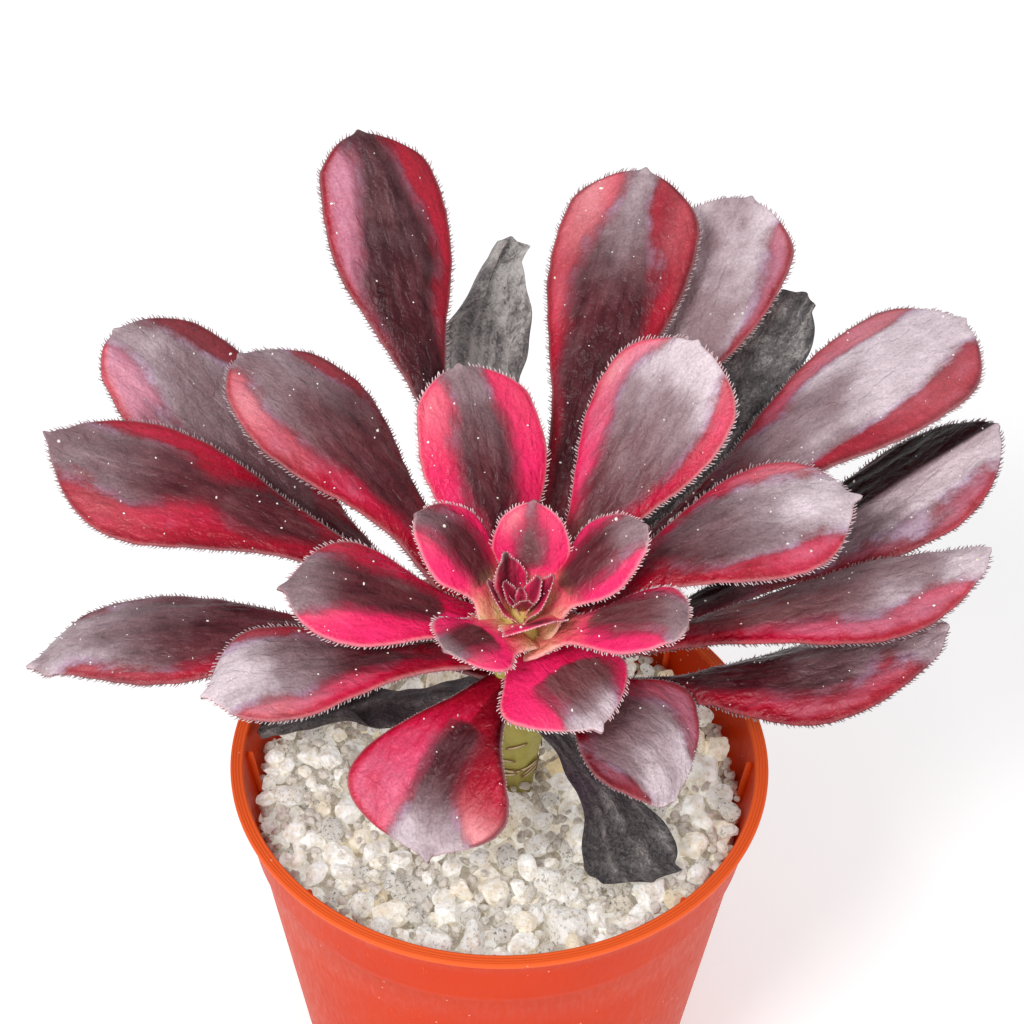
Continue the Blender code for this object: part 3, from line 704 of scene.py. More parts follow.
def lay_rows(node, look, dried):
    """A leaf's sections again, close together all the way from inside the stem to its end."""
    middle, up, left, half, thick, cup, tip = read_ribs(node)
    foot = middle[0] - unit(middle[1] - middle[0]) * ROOTED
    middle = np.vstack([foot, middle, tip])
    steps = np.linalg.norm(np.diff(middle, axis=0), axis=1)
    knots = np.concatenate([[0], np.cumsum(steps)])
    length = knots[-1]
    up, left, thick, cup = (
        np.concatenate([each[:1], each, each[-1:]]) for each in (up, left, thick, cup)
    )
    half = np.concatenate([half[:1], half, [0]])

    rows = max(int(length / ROW_STEP), ROWS_LEAST)
    v = 1 - (1 - np.arange(rows) / rows) ** TIP_BUNCHING
    y = v * length
    middle, thick, cup = (smooth_curve(knots, each, y) for each in (middle, thick, cup))
    up = unit(smooth_curve(knots, up, y))
    left = smooth_curve(knots, left, y)
    left = unit(left - up * np.sum(left * up, 1, keepdims=True))
    half = np.maximum(smooth_curve(knots, half ** (1 / TIP_POWER), y), 1e-4) ** TIP_POWER
    if dried:
        half = dried_outline(dried, half, v, y, length)
    else:
        half = live_outline(look, half, y, length)
        cup = cup + look.fold
    forward = unit(np.gradient(middle, y, axis=0))
    return Rows(v, y, length, middle, up, left, forward, thick, cup, half)


def live_relief(look, row, u, v, x, y, seed):
    """A live leaf's shape over its spine in mm: how far to the left and how high each point lies, its
    swells and creases, its skin, how far its margin strays, its thickness, and its ridges from 0 to 1."""
    lift = row.cup[:, None] * row.half[:, None] * np.abs(u) ** CUP_POWER
    aged = 1 - 2 * np.abs(noise(x / 1.7 + seed, y / 17, seed))
    swell = 0.22 * noise(x / 7, y / 11, seed + 3)
    groove = -GROOVE_DEPTH * np.exp(-((x / GROOVE_WIDTH) ** 2)) * smooth(v / 0.2) * smooth((1 - v) / 0.25)
    inside = 1 - np.abs(u) ** 6
    relief = (swell + groove + look.wrinkle * aged * inside) * smooth(row.half / 3)[:, None]
    side = u > 0
    waves = noise(y / 5.5, seed + 4 + 3 * side, 0.5) + 0.5 * noise(y / 2.3, seed + 8, 0.5)
    relief = relief + look.ripple * waves * np.abs(u) ** 4
    skin = 0.04 * noise(x / 0.9, y / 1.4, seed + 21)
    stretch = 0.12 * noise(y / 1.8, seed + 11 + 5 * side) * np.abs(u) ** 8
    return x, lift, relief, skin, stretch, row.thick, np.clip(aged, 0, 1)


def dried_relief(dried, row, u, v, x, y, seed):
    """The same for a dried leaf: thin, wrinkled both ways, and with its margins rolled in."""
    half = row.half[:, None]
    begun = smooth((v - dried.curl_from) / CURL_REACH)
    flat = 1 - (1 - dried.flat) * begun  # share of the half blade that stays flat
    grown = 1 + CURL_GROWTH * begun
    roll = np.maximum(np.radians(np.where(u > 0, dried.curl_left, dried.curl_right)) * begun, 1e-3)
    past = np.maximum(np.abs(u) * grown - flat, 0)
    tight = (grown - flat + 1e-3) / roll
    sideways = np.sign(u) * half * (np.minimum(np.abs(u) * grown, flat) + tight * np.sin(past / tight))
    lift = half * tight * (1 - np.cos(past / tight)) + row.cup[:, None] * half * np.abs(u) ** CUP_POWER
    crease = 1 - 2 * np.abs(noise(x / 1.5 + seed, y / 11, seed))
    pucker = noise(x / 3.5, y / 3.2, seed + 9)
    inside = 1 - np.abs(u) ** 6
    relief = dried.wrinkle * crease * (0.4 + 0.6 * inside) + dried.pucker * pucker
    skin = 0.14 * noise(x / 0.7, y / 1.1, seed + 21)
    stretch = 0.4 * noise(y / 4, seed + 4) * np.abs(u) ** 3
    thick = np.maximum(row.thick * DRIED_SHARE, DRIED_LEAST)
    return sideways, lift, relief, skin, stretch, thick, np.clip(crease * 0.7 + pucker * 0.3, 0, 1)


Blade = namedtuple("Blade", "points faces u v x y half top edge ridge rows columns margins")


def shape_blade(node, look=None, dried=None):
    """A leaf's fine skin as arrays in mm. u runs from 1 at its left margin to -1 at its right one, v
    from 0 at the stem to 1 at the tip, and x and y are the same in mm."""
    row = lay_rows(node, look, dried)
    half, up, forward = row.half[:, None], row.up[:, None], row.forward[:, None]
    rows, columns = len(row.v), max(int(2 * half.max() / COLUMN_STEP), COLUMNS_LEAST)
    even = 1 - 2 * np.arange(columns + 1) / columns
    u, v = np.meshgrid((1 - EDGE_BUNCHING) * even + EDGE_BUNCHING * np.sin(math.pi / 2 * even), row.v)
    point, hook, slim = (look.point, look.hook, look.slim) if look else (DRIED_POINT, 0, 1)
    x = u * half * np.where(u > 0, slim, 1)
    y = np.broadcast_to(row.y[:, None], x.shape)
    shape, kind = (dried_relief, dried) if dried else (live_relief, look)
    seed = float(sum(map(ord, node)) % 61)
    sideways, lift, relief, skin, stretch, thick, ridge = shape(kind, row, u, v, x, y, seed)

    reach = END_REACH + point
    end = smooth((y - (row.length - reach)) / reach)
    onward = point * np.exp(-((x / POINT_WIDTH) ** 2)) * end**3
    bend = hook * smooth((y - (row.length - HOOK_REACH)) / HOOK_REACH) ** 2
    spine = (
        row.middle[:, None]
        + row.left[:, None] * (sideways + stretch)[..., None]
        + up * (lift + relief + bend)[..., None]
        + forward * onward[..., None]
    )
    near = np.minimum(half * (1 - np.abs(u)), (1 - v) * row.length * 1.4 + 0.02)  # mm to the edge
    rounding = np.sqrt(1 - (1 - np.minimum(near / EDGE_ROUND, 1)) ** 2)
    belly = thick[:, None] / 2 * (1 - THINNING * u * u) * rounding
    over = spine + up * (belly + skin * rounding)[..., None]
    under = spine - up * belly[..., None]

    ring = np.concatenate([over, under[:, -2:0:-1]], axis=1)
    around = ring.shape[1]
    ends = [spine[0].mean(0), spine[-1].mean(0) + row.forward[-1] * 0.05]
    points = np.vstack([ring.reshape(-1, 3), *ends])
    index, after = ring_index(rows, around)
    faces = quads(index[:-1], after[:-1], after[1:], index[1:])
    faces += np.stack([after[0], index[0], np.full(around, len(points) - 2)], -1).tolist()
    faces += np.stack([index[-1], after[-1], np.full(around, len(points) - 1)], -1).tolist()

    def spread(grid, at_foot, at_tip):
        """A value for each point: over the top, back under it, and at the foot and the tip."""
        grid = np.broadcast_to(grid, x.shape)
        return np.append(np.concatenate([grid, grid[:, -2:0:-1]], axis=1), [at_foot, at_tip])

    is_top = np.broadcast_to(np.arange(around) <= columns, (rows, around))
    margins = []
    for side, column in ((1, 0), (-1, -1)):
        line = spine[:, column]
        margins.append((line, unit(np.gradient(line, axis=0)), row.up, side))
    return Blade(
        points,
        faces,
        u=spread(u, 0, 0),
        v=spread(v, 0, 1),
        x=spread(x, 0, 0),
        y=spread(y, 0, row.length),
        half=spread(half, row.half[0], 0),
        top=np.append(is_top, [0, 1]),
        edge=spread(near, 1, 0),
        ridge=spread(ridge, 0, 0),
        rows=rows,
        columns=columns,
        margins=margins,
    )


def plant_hairs(margin, rng, longer):
    """Where the hairs of one margin start, which way they point and bend, and their lengths."""
    line, onward, up, side = margin
    step = np.linalg.norm(np.diff(line, axis=0), axis=1)
    run = np.concatenate([[0], np.cumsum(step)])
    count = int(run[-1] * (1 - HAIR_START) / HAIR_SPACING)
    at = run[-1] * HAIR_START + (np.arange(count) + rng.uniform(0.2, 0.8, count)) * HAIR_SPACING
    at = np.minimum(at, run[-1])
    root, along, above = (
        np.stack([np.interp(at, run, each[:, i]) for i in range(3)], -1) for each in (line, onward, up)
    )
    outward = unit(np.cross(along, above)) * -side
    way = unit(outward + along * HAIR_SLANT + rng.normal(0, HAIR_SWAY, (count, 3)))
    bend = along * rng.uniform(0.15, 0.55, (count, 1)) + above * rng.normal(0.05, 0.12, (count, 1))
    size = HAIR_LENGTH * longer * rng.uniform(0.6, 1.2, count)
    return root - outward * HAIR_ROOTED, way, bend, size


def hair_faces():
    """The faces of one hair, by how many corners they have: its sides, its tip and its foot."""
    index, after = ring_index(len(HAIR_SHARES), HAIR_SIDES)
    sides = quads(index[:-1], after[:-1], after[1:], index[1:])
    tips = np.stack([index[-1], after[-1], np.full(HAIR_SIDES, index.size)], -1).tolist()
    return sides, tips, [index[0][::-1].tolist()]


def shape_hairs(margins, rng, longer):
    """Stiff tapering hairs along both margins: points and faces, and for each point how far it is
    along its hair and its hair's tone."""
    planted = [plant_hairs(margin, rng, longer) for margin in margins]
    root, way, bend, size = (np.concatenate(each) for each in zip(*planted))
    count = len(root)
    one = unit(np.cross(way, rng.normal(0, 1, (count, 3))))
    two = np.cross(way, one)
    turn = turns(HAIR_SIDES)[None, :, None]
    spokes = one[:, None] * np.cos(turn) + two[:, None] * np.sin(turn)
    spine = [root + way * (size * s)[:, None] + bend * (size * s * s)[:, None] for s in (*HAIR_SHARES, 1.0)]
    rings = [place[:, None] + spokes * HAIR_RADIUS * thin for place, thin in zip(spine, HAIR_TAPER)]
    points = np.concatenate([*rings, spine[-1][:, None]], axis=1)
    each = points.shape[1]
    start = (np.arange(count) * each)[:, None, None]
    faces = []
    for group in hair_faces():
        faces += (np.array(group)[None] + start).reshape(-1, len(group[0])).tolist()
    along = np.tile(np.concatenate([np.repeat(HAIR_SHARES, HAIR_SIDES), [1.0]]), count)
    tone = np.repeat(rng.uniform(0, 1, count), each)
    return points.reshape(-1, 3), faces, along, tone


BUD_SCALES = ((0, 1.0), (125, 0.9), (-115, 0.8), (175, 0.6), (60, 0.5))  # turn in degrees, size


def turned_round_stem(points, turn, size):
    """Points in mm turned about the stem's axis and shrunk towards its top."""
    centre = np.array(stem_top()) / MM
    turned = (points - centre) @ np.array(Matrix.Rotation(math.radians(turn), 3, "Z")).T
    return centre + turned * size


def paint_leaf(look, blade, seed):
    """What a live leaf's skin reads at each point: how much of each colour and wax lies there."""
    u, v, x, y, half, edge = blade.u, blade.v, blade.x, blade.y, blade.half, blade.edge
    is_left, widest, length = u > 0, half.max(), y.max()
    # the dark band: how far inside its wandering border a point lies, in mm
    wander = 0.20 * widest * noise(x / 5.0, y / 11.0, seed) + 0.3 * noise(x / 0.9, y / 2.4, seed)
    ending = smooth((v - 0.70) / 0.30)
    reach = look.core * half * (1 - ending) + look.tip * ending
    band = reach - np.abs(x - look.lean * half) + wander
    band = band - (1 - smooth((v - look.start) / 0.14)) * widest
    # the painted grey sheen, standing for the sky's reflection: patchy, thin where the leaf faces away, and
    # a painted glint on the very point
    cloud = noise(x / 4.0, y / 7.0, seed + 7)
    bloom = look.bloom * smooth((v - look.grey) / (0.95 - look.grey)) + 0.16 * cloud * look.bloom
    bloom = bloom * (1 - look.shade * smooth((u - 0.05) / 0.15))
    bloom = bloom + smooth((y - length + 1.2) / 0.6) * (np.abs(x) < 0.8) * 0.1
    # the margins' pink, which a deep foot and the edge darken, and over it a painted lilac sheen and a
    # pallor towards the tip that is painted lighter on the left margin where light falls
    heat = np.where(is_left, look.left, look.right) + 0.10 * noise(x / 3, y / 9, seed + 13)
    heat = heat * (1 - 0.6 * look.deep * smooth(1 - v / 0.55))
    heat = heat - 0.32 * look.deep * smooth(1 - edge / 1.8)
    # painted lilac sheen over each margin
    film = np.where(is_left, look.film_left, look.film_right) * smooth((v - 0.15) / 0.5)
    pale = look.pale * smooth((v - 0.55) / 0.4) * (0.7 + 0.5 * cloud) * smooth(heat * 2)
    # painted light: the left margin is painted far paler than the right one
    pale = pale * smooth(edge / 1.5) * np.where(is_left, 1.1, 0.3)
    green = look.green * smooth(1 - v / 0.42) * (0.9 + 0.5 * noise(x / 1.5, y / 2.5, seed + 17))
    rim = (0.05 + 0.8 * look.rim) * smooth(1 - edge / 0.55) * smooth((look.left + look.right) / 1.6)
    return {
        # painted shade: where the leaf faces away, its left half gets a darker tone and loses its painted
        # sheen
        "leaf_band": band - 1.2 * look.shade * smooth((u - 0.85) / 0.1),
        "leaf_tone": look.tone + 0.12 * noise(x / 2.5, y / 6, seed + 31) - 0.5 * look.shade * (u > 0.1),
        "leaf_bloom": np.clip(bloom, 0, 1.1),
        "leaf_film": film * smooth(edge / 2.2),
        "leaf_heat": heat,
        "leaf_pale": np.clip(pale, 0, 0.85),
        "leaf_green": np.clip(green, 0, 1),
        "leaf_rim": rim,
        "leaf_under": 0.55 * (1 - blade.top),
    }


def make_leaf(node, look, skin, hair, copies=((0, 1.0),)):
    """A live leaf: its blade with colour masks, and its fringe of hairs."""
    blade = shape_blade(node, look)
    hair_points, fringe, hair_along, hair_tone = shape_hairs(blade.margins, seeded(node), look.fringe)
    one = np.vstack([blade.points, hair_points])
    one_faces = blade.faces + [[i + len(blade.points) for i in face] for face in fringe]
    points = np.vstack([turned_round_stem(one, *copy) if copy[0] else one for copy in copies])
    faces = [[i + k * len(one) for i in face] for k in range(len(copies)) for face in one_faces]
    finish_of = ([0] * len(blade.faces) + [1] * len(fringe)) * len(copies)
    piece = new_piece(node + "_skin", "leaf", points, faces, [skin, hair], finish_of)

    no_hair, no_blade = np.zeros(len(hair_points)), np.zeros(len(blade.points))
    masks = paint_leaf(look, blade, float(sum(map(ord, node)) % 53))
    lively = smooth((look.left + look.right) / 2.0)
    values = {name: (each, no_hair) for name, each in masks.items()}
    values["hair_along"] = (no_blade, hair_along)
    values["hair_tone"] = (no_blade, lively * (0.55 + 0.45 * hair_tone))
    give(piece, **{name: np.tile(np.concatenate(pair), len(copies)) for name, pair in values.items()})
    flat = [np.tile(np.concatenate([each * MM, no_hair]), len(copies)) for each in (blade.x, blade.y)]
    place_on_map(piece, "leaf_map", *flat)
    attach(piece, BODY)
    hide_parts(node)
    return blade


def make_dried_leaf(node, dried, skin):
    """A dead leaf: a thin blade that has rolled in and wrinkled."""
    blade = shape_blade(node, dried=dried)
    piece = new_piece(node + "_skin", "dried_leaf", blade.points, blade.faces, [skin])
    patchy = 0.6 + 0.4 * noise(blade.x / 3, blade.y / 5, float(sum(map(ord, node)) % 53))
    stain = dried.tint * smooth(1 - (blade.v - 0.35) / 0.5) * patchy
    give(piece, leaf_ridge=blade.ridge + dried.dust, leaf_stain=np.clip(stain, 0, 0.8))
    place_on_map(piece, "leaf_map", blade.x * MM, blade.y * MM)
    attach(piece, BODY)
    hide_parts(node)


# --- stem ---

STEM_SIDES, STEM_ROWS = 96, 110
STEM_FROM, STEM_TO = 2, 1.5  # mm inside the ends of the CAD stem above the grit
SCAR_RISE = 2.6  # mm from one turn of the scars to the next
SCAR_WIDTH = 0.09  # as a share of that
STEM_COVER = 0.30  # mm that the skin lies over the CAD stem
FLAKES = 13
FLAKES_IN_SIGHT = 9  # of them on the open side of the stem
BARK_THICK = 0.12  # mm
BARK_OFF = 0.40  # mm from the stem to the middle of a flake


def measure_stem():
    """The CAD stem's axis, its heights above the grit from low to high, and its radii there, in mm."""
    axis = stem_top().xy
    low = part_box("grit_topping")[0].z
    rings = {}
    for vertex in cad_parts["stem"].data.vertices:
        if vertex.co.z > low:
            rings.setdefault(round(vertex.co.z / MM, 1), []).append((vertex.co.xy - axis).length / MM)
    heights = np.array(sorted(rings))
    return np.array(axis) / MM, heights, np.array([max(rings[h]) for h in heights])


def make_stem(skin):
    """The green skin over the stem above the grit, marked by the scars of old leaves."""
    axis, heights, radii = measure_stem()
    z = np.linspace(heights[0] + STEM_FROM, heights[-1] - STEM_TO, STEM_ROWS)
    radius = smooth_curve(heights, radii, z)
    turn, z = np.meshgrid(turns(STEM_SIDES), z)
    coil = z / SCAR_RISE + turn / (2 * math.pi) * 3  # the scars run round it in three spirals
    scar = np.clip(1 - np.abs((coil % 1) - 0.5) / SCAR_WIDTH, 0, 1)
    scar = scar * smooth(noise(turn * 2, z / 2, 3.0) * 2)
    x, y = np.cos(turn), np.sin(turn)
    wide = radius[:, None] + (STEM_COVER + 0.16 * noise(x * 3, y * 3, z / 3) - 0.05 * scar)
    points = round_axis(wide, turn, z, axis)
    index, after = ring_index(STEM_ROWS, STEM_SIDES)
    faces = quads(index[:-1], after[:-1], after[1:], index[1:])
    faces += [index[0][::-1].tolist(), index[-1].tolist()]
    piece = new_piece("stem_skin_sleeve", "stem_skin", points.reshape(-1, 3), faces, [skin])
    give(piece, stem_scar=scar.ravel() * 0.35)
    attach(piece, BODY)


def make_bark(bark):
    """Thin flakes of old bark that stand a little off the stem near its foot."""
    axis, heights, radii = measure_stem()
    rng = seeded("bark")
    a, b = np.meshgrid(np.linspace(-1, 1, 13), np.linspace(-1, 1, 7))  # across and up a flake
    points, faces, edges = [], [], []
    for flake in range(FLAKES):
        heading = math.radians(rng.uniform(-170, 20) if flake < FLAKES_IN_SIGHT else rng.uniform(0, 360))
        at = rng.uniform(heights[0] + 10, heights[0] + 19)
        wide, tall, tilt = rng.uniform(0.9, 2.0), rng.uniform(0.22, 0.45), rng.uniform(0.4, 1.4)
        bow = tall * np.sqrt(np.maximum(1 - a * a, 0.02))
        height = at + b * bow + a * wide * tilt * 0.6
        stem_radius = np.interp(height, heights, radii)
        angle = heading + a * wide / stem_radius
        lift = BARK_OFF + 0.10 * b**2 + 0.06 * np.abs(a) ** 3
        grid = np.arange(a.size).reshape(a.shape) + sum(map(len, points))
        lower = grid + a.size
        for off_stem in (lift + BARK_THICK, lift):
            points.append(round_axis(stem_radius + off_stem, angle, height, axis).reshape(-1, 3))
            edges.append(smooth((np.maximum(np.abs(a), np.abs(b)) - 0.55) / 0.4).ravel())
        faces += quads(grid[:-1, :-1], grid[:-1, 1:], grid[1:, 1:], grid[1:, :-1])
        faces += quads(lower[:-1, :-1], lower[1:, :-1], lower[1:, 1:], lower[:-1, 1:])
        rim = np.concatenate([grid[0, :-1], grid[:-1, -1], grid[-1, :0:-1], grid[:0:-1, 0]])
        after = np.roll(rim, -1)
        faces += quads(after, rim, rim + a.size, after + a.size)
    piece = new_piece("stem_bark_flakes", "stem_skin", np.vstack(points), faces, [bark])
    give(piece, bark_edge=np.concatenate(edges))
    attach(piece, BODY)


# --- pot ---

POT_SIDES = 256
WALL = 1.2  # mm
COLLAR = 12.6  # mm tall
OVERHANG = 1.0  # mm that the lip stands out from the collar
LIP = 1.0  # mm tall
COLLAR_IN = 2.8  # mm from the lip to the collar's foot
COLLAR_STEP = 0.6  # mm from the collar's foot to the body
BODY_IN = 12.8  # mm from the lip to the base
HUB = 0.01  # mm, radius of the smallest ring of the base, which is welded shut
HUB_WELD = 0.02 * MM
GROOVES = (0.32, 0.55, 0.76)  # fine rings turned into the lip's top face, as shares of its width
DRAIN_HOLES = 6
DRAIN_RADIUS = 3.5  # mm
DRAIN_CIRCLE = 20.0  # mm from the middle of the base
DRILL_LENGTH = 6  # mm
RIBS = 8
RIB_DEPTH = 1.0  # mm
RIB_WIDTH = 0.8
RIB_LENGTH = 9.5
RIB_ROUND = 0.2
RIB_TOP = 1.5  # mm below the lip


def pot_profile():
    """The pot's outline in mm, as (radius, height, how much painted highlight the lip takes there), down
    its outer side from the lip and back up inside. The box of the CAD pot sets its height and width."""
    low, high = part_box("pot")
    tall, lip = high.z / MM, (high.x - low.x) / 2 / MM
    top, collar, base = lip - OVERHANG, lip - COLLAR_IN, lip - BODY_IN
    body, ledge, lip_foot, inner = collar - COLLAR_STEP, tall - COLLAR, tall - LIP, top - WALL
    inner_base = base + (body - base) * WALL / ledge - WALL
    rings = [(lip - 0.25, tall - 0.05, 1), (lip - 0.07, tall - 0.12, 1)]
    rings += [(lip, tall - 0.3, 1), (lip, tall - 0.7, 1), (lip - 0.1, lip_foot + 0.08, 0.6)]
    rings += [(lip - 0.3, lip_foot, 0.3), (top + 0.15, lip_foot, 0), (top, lip_foot - 0.15, 0)]
    for s in (0.3, 0.6, 0.9):  # down the collar
        rings.append((top + (collar - top) * s, lip_foot - 0.15 - (COLLAR - LIP - 0.35) * s, 0))
    rings += [(collar, ledge + 0.2, 0), (collar - 0.08, ledge + 0.05, 0), (collar - 0.2, ledge, 0)]
    rings += [(body + 0.12, ledge - 0.02, 0), (body, ledge - 0.15, 0)]
    for s in (0.15, 0.35, 0.55, 0.75, 0.9, 0.98):  # down the body
        rings.append((body + (base - body) * s, ledge * (1 - s), 0))
    rings += [(base - 0.25, 0.15, 0), (base - 0.7, 0, 0), (base * 0.7, 0, 0), (base * 0.3, 0, 0)]
    rings += [(HUB, 0, 0), (HUB, WALL, 0), (inner_base * 0.5, WALL, 0), (inner_base - 0.5, WALL, 0)]
    rings.append((inner_base, WALL + 0.5, 0))
    for s in (0.3, 0.6, 0.99):  # up inside the body
        rings.append((inner_base + (body - WALL - inner_base) * s, WALL + (ledge - WALL) * s, 0))
    rings.append((collar - WALL, ledge + COLLAR_STEP, 0))
    for s in (0.25, 0.5, 0.75, 0.93):  # up inside the collar
        rings.append((collar - WALL + (top - collar) * s, ledge + COLLAR * s, 0))
    rings += [(inner - 0.02, tall - 0.45, 0.4), (inner + 0.08, tall - 0.12, 0.8), (inner + 0.3, tall, 1)]
    for groove in GROOVES:
        for off, deep in ((-0.14, 0), (-0.04, 0.11), (0.04, 0.11), (0.14, 0)):
            rings.append((inner + (lip - inner) * groove + off, tall - deep, 0.7 if deep else 1))
    return rings


def turn_pot(finish):
    """The pot's wall and base, turned from its outline and closed at the middle of the base."""
    radius, height, rim = (each[:, None] for each in np.array(pot_profile()).T)
    points = round_axis(radius, turns(POT_SIDES), height)
    index, after = ring_index(len(radius), POT_SIDES)
    below, below_after = np.roll(index, -1, axis=0), np.roll(after, -1, axis=0)
    keep = np.arange(len(radius)) != np.argmax(radius <= HUB)  # no faces between the two hubs
    faces = quads(index[keep], below[keep], below_after[keep], after[keep])
    piece = new_piece("nursery_pot", "pot_plastic", points.reshape(-1, 3), faces, [finish])
    # the lip's painted highlight, from the outline's third column
    give(piece, pot_rim=np.repeat(rim, POT_SIDES) * 0.75)
    build = bmesh.new()
    build.from_mesh(piece.data)
    bmesh.ops.remove_doubles(build, verts=build.verts, dist=HUB_WELD)
    bmesh.ops.recalc_face_normals(build, faces=build.faces)
    build.to_mesh(piece.data)
    build.free()
    return piece


def new_tool(name, build):
    """A shape to cut from the pot or to join to it."""
    mesh = bpy.data.meshes.new(name)
    build.to_mesh(mesh)
    build.free()
    tool = bpy.data.objects.new(name, mesh)
    bpy.context.scene.collection.objects.link(tool)
    return tool


def drain_drill(angle):
    """A round drill that stands in one drain hole."""
    place = Vector((math.cos(angle), math.sin(angle), 0)) * DRAIN_CIRCLE * MM
    build = bmesh.new()
    bmesh.ops.create_cone(
        build,
        cap_ends=True,
        segments=48,
        radius1=DRAIN_RADIUS * MM,
        radius2=DRAIN_RADIUS * MM,
        depth=DRILL_LENGTH * MM,
        matrix=Matrix.Translation(place),
    )
    return new_tool("drain_drill", build)


def stacking_fin(angle):
    """A small upright rib inside the collar, that keeps stacked pots apart."""
    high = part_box("pot")[1]
    lean = math.atan2(COLLAR_IN - OVERHANG, COLLAR)
    out = high.x / MM - OVERHANG - WALL - (RIB_TOP + RIB_LENGTH / 2) * math.tan(lean)
    size = Vector((RIB_DEPTH + WALL / 2, RIB_WIDTH, RIB_LENGTH)) * MM
    place = Vector((out + (WALL / 2 - RIB_DEPTH) / 2, 0, high.z / MM - RIB_TOP - RIB_LENGTH / 2)) * MM
    build = bmesh.new()
    bmesh.ops.create_cube(build, size=1)
    bmesh.ops.scale(build, vec=size, verts=build.verts)
    bmesh.ops.bevel(build, geom=build.edges[:], offset=RIB_ROUND * MM, segments=2, affect="EDGES")
    bmesh.ops.rotate(build, matrix=Matrix.Rotation(lean, 3, "Y"), verts=build.verts)
    bmesh.ops.translate(build, vec=place, verts=build.verts)
    bmesh.ops.rotate(build, matrix=Matrix.Rotation(angle, 3, "Z"), verts=build.verts)
    return new_tool("stacking_fin", build)


def make_pot(finish):
    """The nursery pot, with its drain holes drilled and its stacking fins joined on."""
    piece = turn_pot(finish)
    drills = [drain_drill(2 * math.pi * (i + 0.5) / DRAIN_HOLES) for i in range(DRAIN_HOLES)]
    fins = [stacking_fin(2 * math.pi * i / RIBS) for i in range(RIBS)]
    for tool in drills + fins:
        boolean = piece.modifiers.new(tool.name, "BOOLEAN")
        boolean.operation = "DIFFERENCE" if tool in drills else "UNION"
        boolean.object = tool
    shaped = bpy.data.meshes.new_from_object(piece.evaluated_get(bpy.context.evaluated_depsgraph_get()))
    piece.modifiers.clear()
    piece.data = shaped
    for tool in drills + fins:
        bpy.data.objects.remove(tool)
    piece.data.shade_smooth()
    piece.data.set_sharp_from_angle(angle=math.radians(50))
    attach(piece, BODY)
    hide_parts("pot")


# --- grit ---

GRAIN_CELL = 0.5  # mm, of the height field that the grains settle on
GRIT_RADIUS = 41.4  # mm, inside the pot's collar
GRIT_BED = 66.5  # mm, the hidden floor that the grains settle on
GRIT_HIGHEST = 76.4  # mm, the top of the highest grain, below the leaves that lie on them
BED_OVER = 1.6  # mm that the layer under the grains stands over that floor
STEM_CLEAR = 2.9  # mm round the stem's axis
STEM_WALL = 1000.0  # mm, so high that no grain settles there
GRAIN_FLAT = 0.8  # how much lower than wide a grain lies
GRAIN_SUNK = 0.16  # share of its radius that a grain sinks among the others
GRAIN_SIZES = (  # smallest and largest diameter in mm, how many, how fine its mesh is, how late it falls
    (5.8, 8.6, 70, 4, 0.45),
    (3.8, 5.6, 300, 3, 0.40),
    (2.2, 3.7, 420, 3, 0.35),
    (1.0, 2.1, 1900, 2, 0.70),
)
COARSE, MEDIUM, SMALL, FINE = range(len(GRAIN_SIZES))
FLATS = (7, 13)  # the range of how many are struck off a grain


def settle_grains(rng):
    """Drops the grains one by one, each into the lowest of a few random places. Gives for each grain
    its kind, its place in mm and its radius."""
    cells = int(2 * GRIT_RADIUS / GRAIN_CELL) + 1
    line = (np.arange(cells) - cells // 2) * GRAIN_CELL
    across, along = np.meshgrid(line, line, indexing="ij")
    field = np.full((cells, cells), GRIT_BED)
    axis = np.array(stem_top()) / MM
    field[np.hypot(across - axis[0], along - axis[1]) < STEM_CLEAR] = STEM_WALL
    drops = []
    for kind, (smallest, largest, count, _, late) in enumerate(GRAIN_SIZES):
        for _ in range(count):
            radius = rng.uniform(smallest, largest) / 2
            drops.append((rng.uniform(0, 1) + late, kind, radius))
    settled = []
    for _, kind, radius in sorted(drops):
        reach = int(radius / GRAIN_CELL) + 1
        offset = np.arange(-reach, reach + 1) * GRAIN_CELL
        apart = np.hypot(*np.meshgrid(offset, offset, indexing="ij"))
        dome = np.sqrt(np.maximum(radius**2 - apart**2, 0)) * GRAIN_FLAT
        inside = apart <= radius
        best = None
        for _ in range(24 if kind == FINE else 12):
            angle = rng.uniform(0, 2 * math.pi)
            out = (GRIT_RADIUS - radius * 1.08) * math.sqrt(rng.uniform(0, 1))
            x, y = out * math.cos(angle), out * math.sin(angle)
            i, j = (int(round(each / GRAIN_CELL)) + cells // 2 for each in (x, y))
            if min(i, j) < reach or max(i, j) >= cells - reach:
                continue
            patch = field[i - reach : i + reach + 1, j - reach : j + reach + 1]
            rest = np.max(np.where(inside, patch + dome, 0))
            if best is None or rest < best[0]:
                best = (rest, x, y, patch)
        if best is None or best[0] + radius * GRAIN_FLAT > GRIT_HIGHEST:
            continue
        rest, x, y, patch = best
        sunk = rest - GRAIN_SUNK * radius
        patch[inside] = np.maximum(patch, sunk + dome)[inside]
        settled.append((kind, (x, y, sunk), radius))
    return settled


def ball(fineness):
    """The unit points and the triangles of a round ball."""
    build = bmesh.new()
    bmesh.ops.create_icosphere(build, subdivisions=fineness, radius=1)
    points = np.array([v.co for v in build.verts])
    faces = np.array([[v.index for v in f.verts] for f in build.faces])
    build.free()
    return points, faces


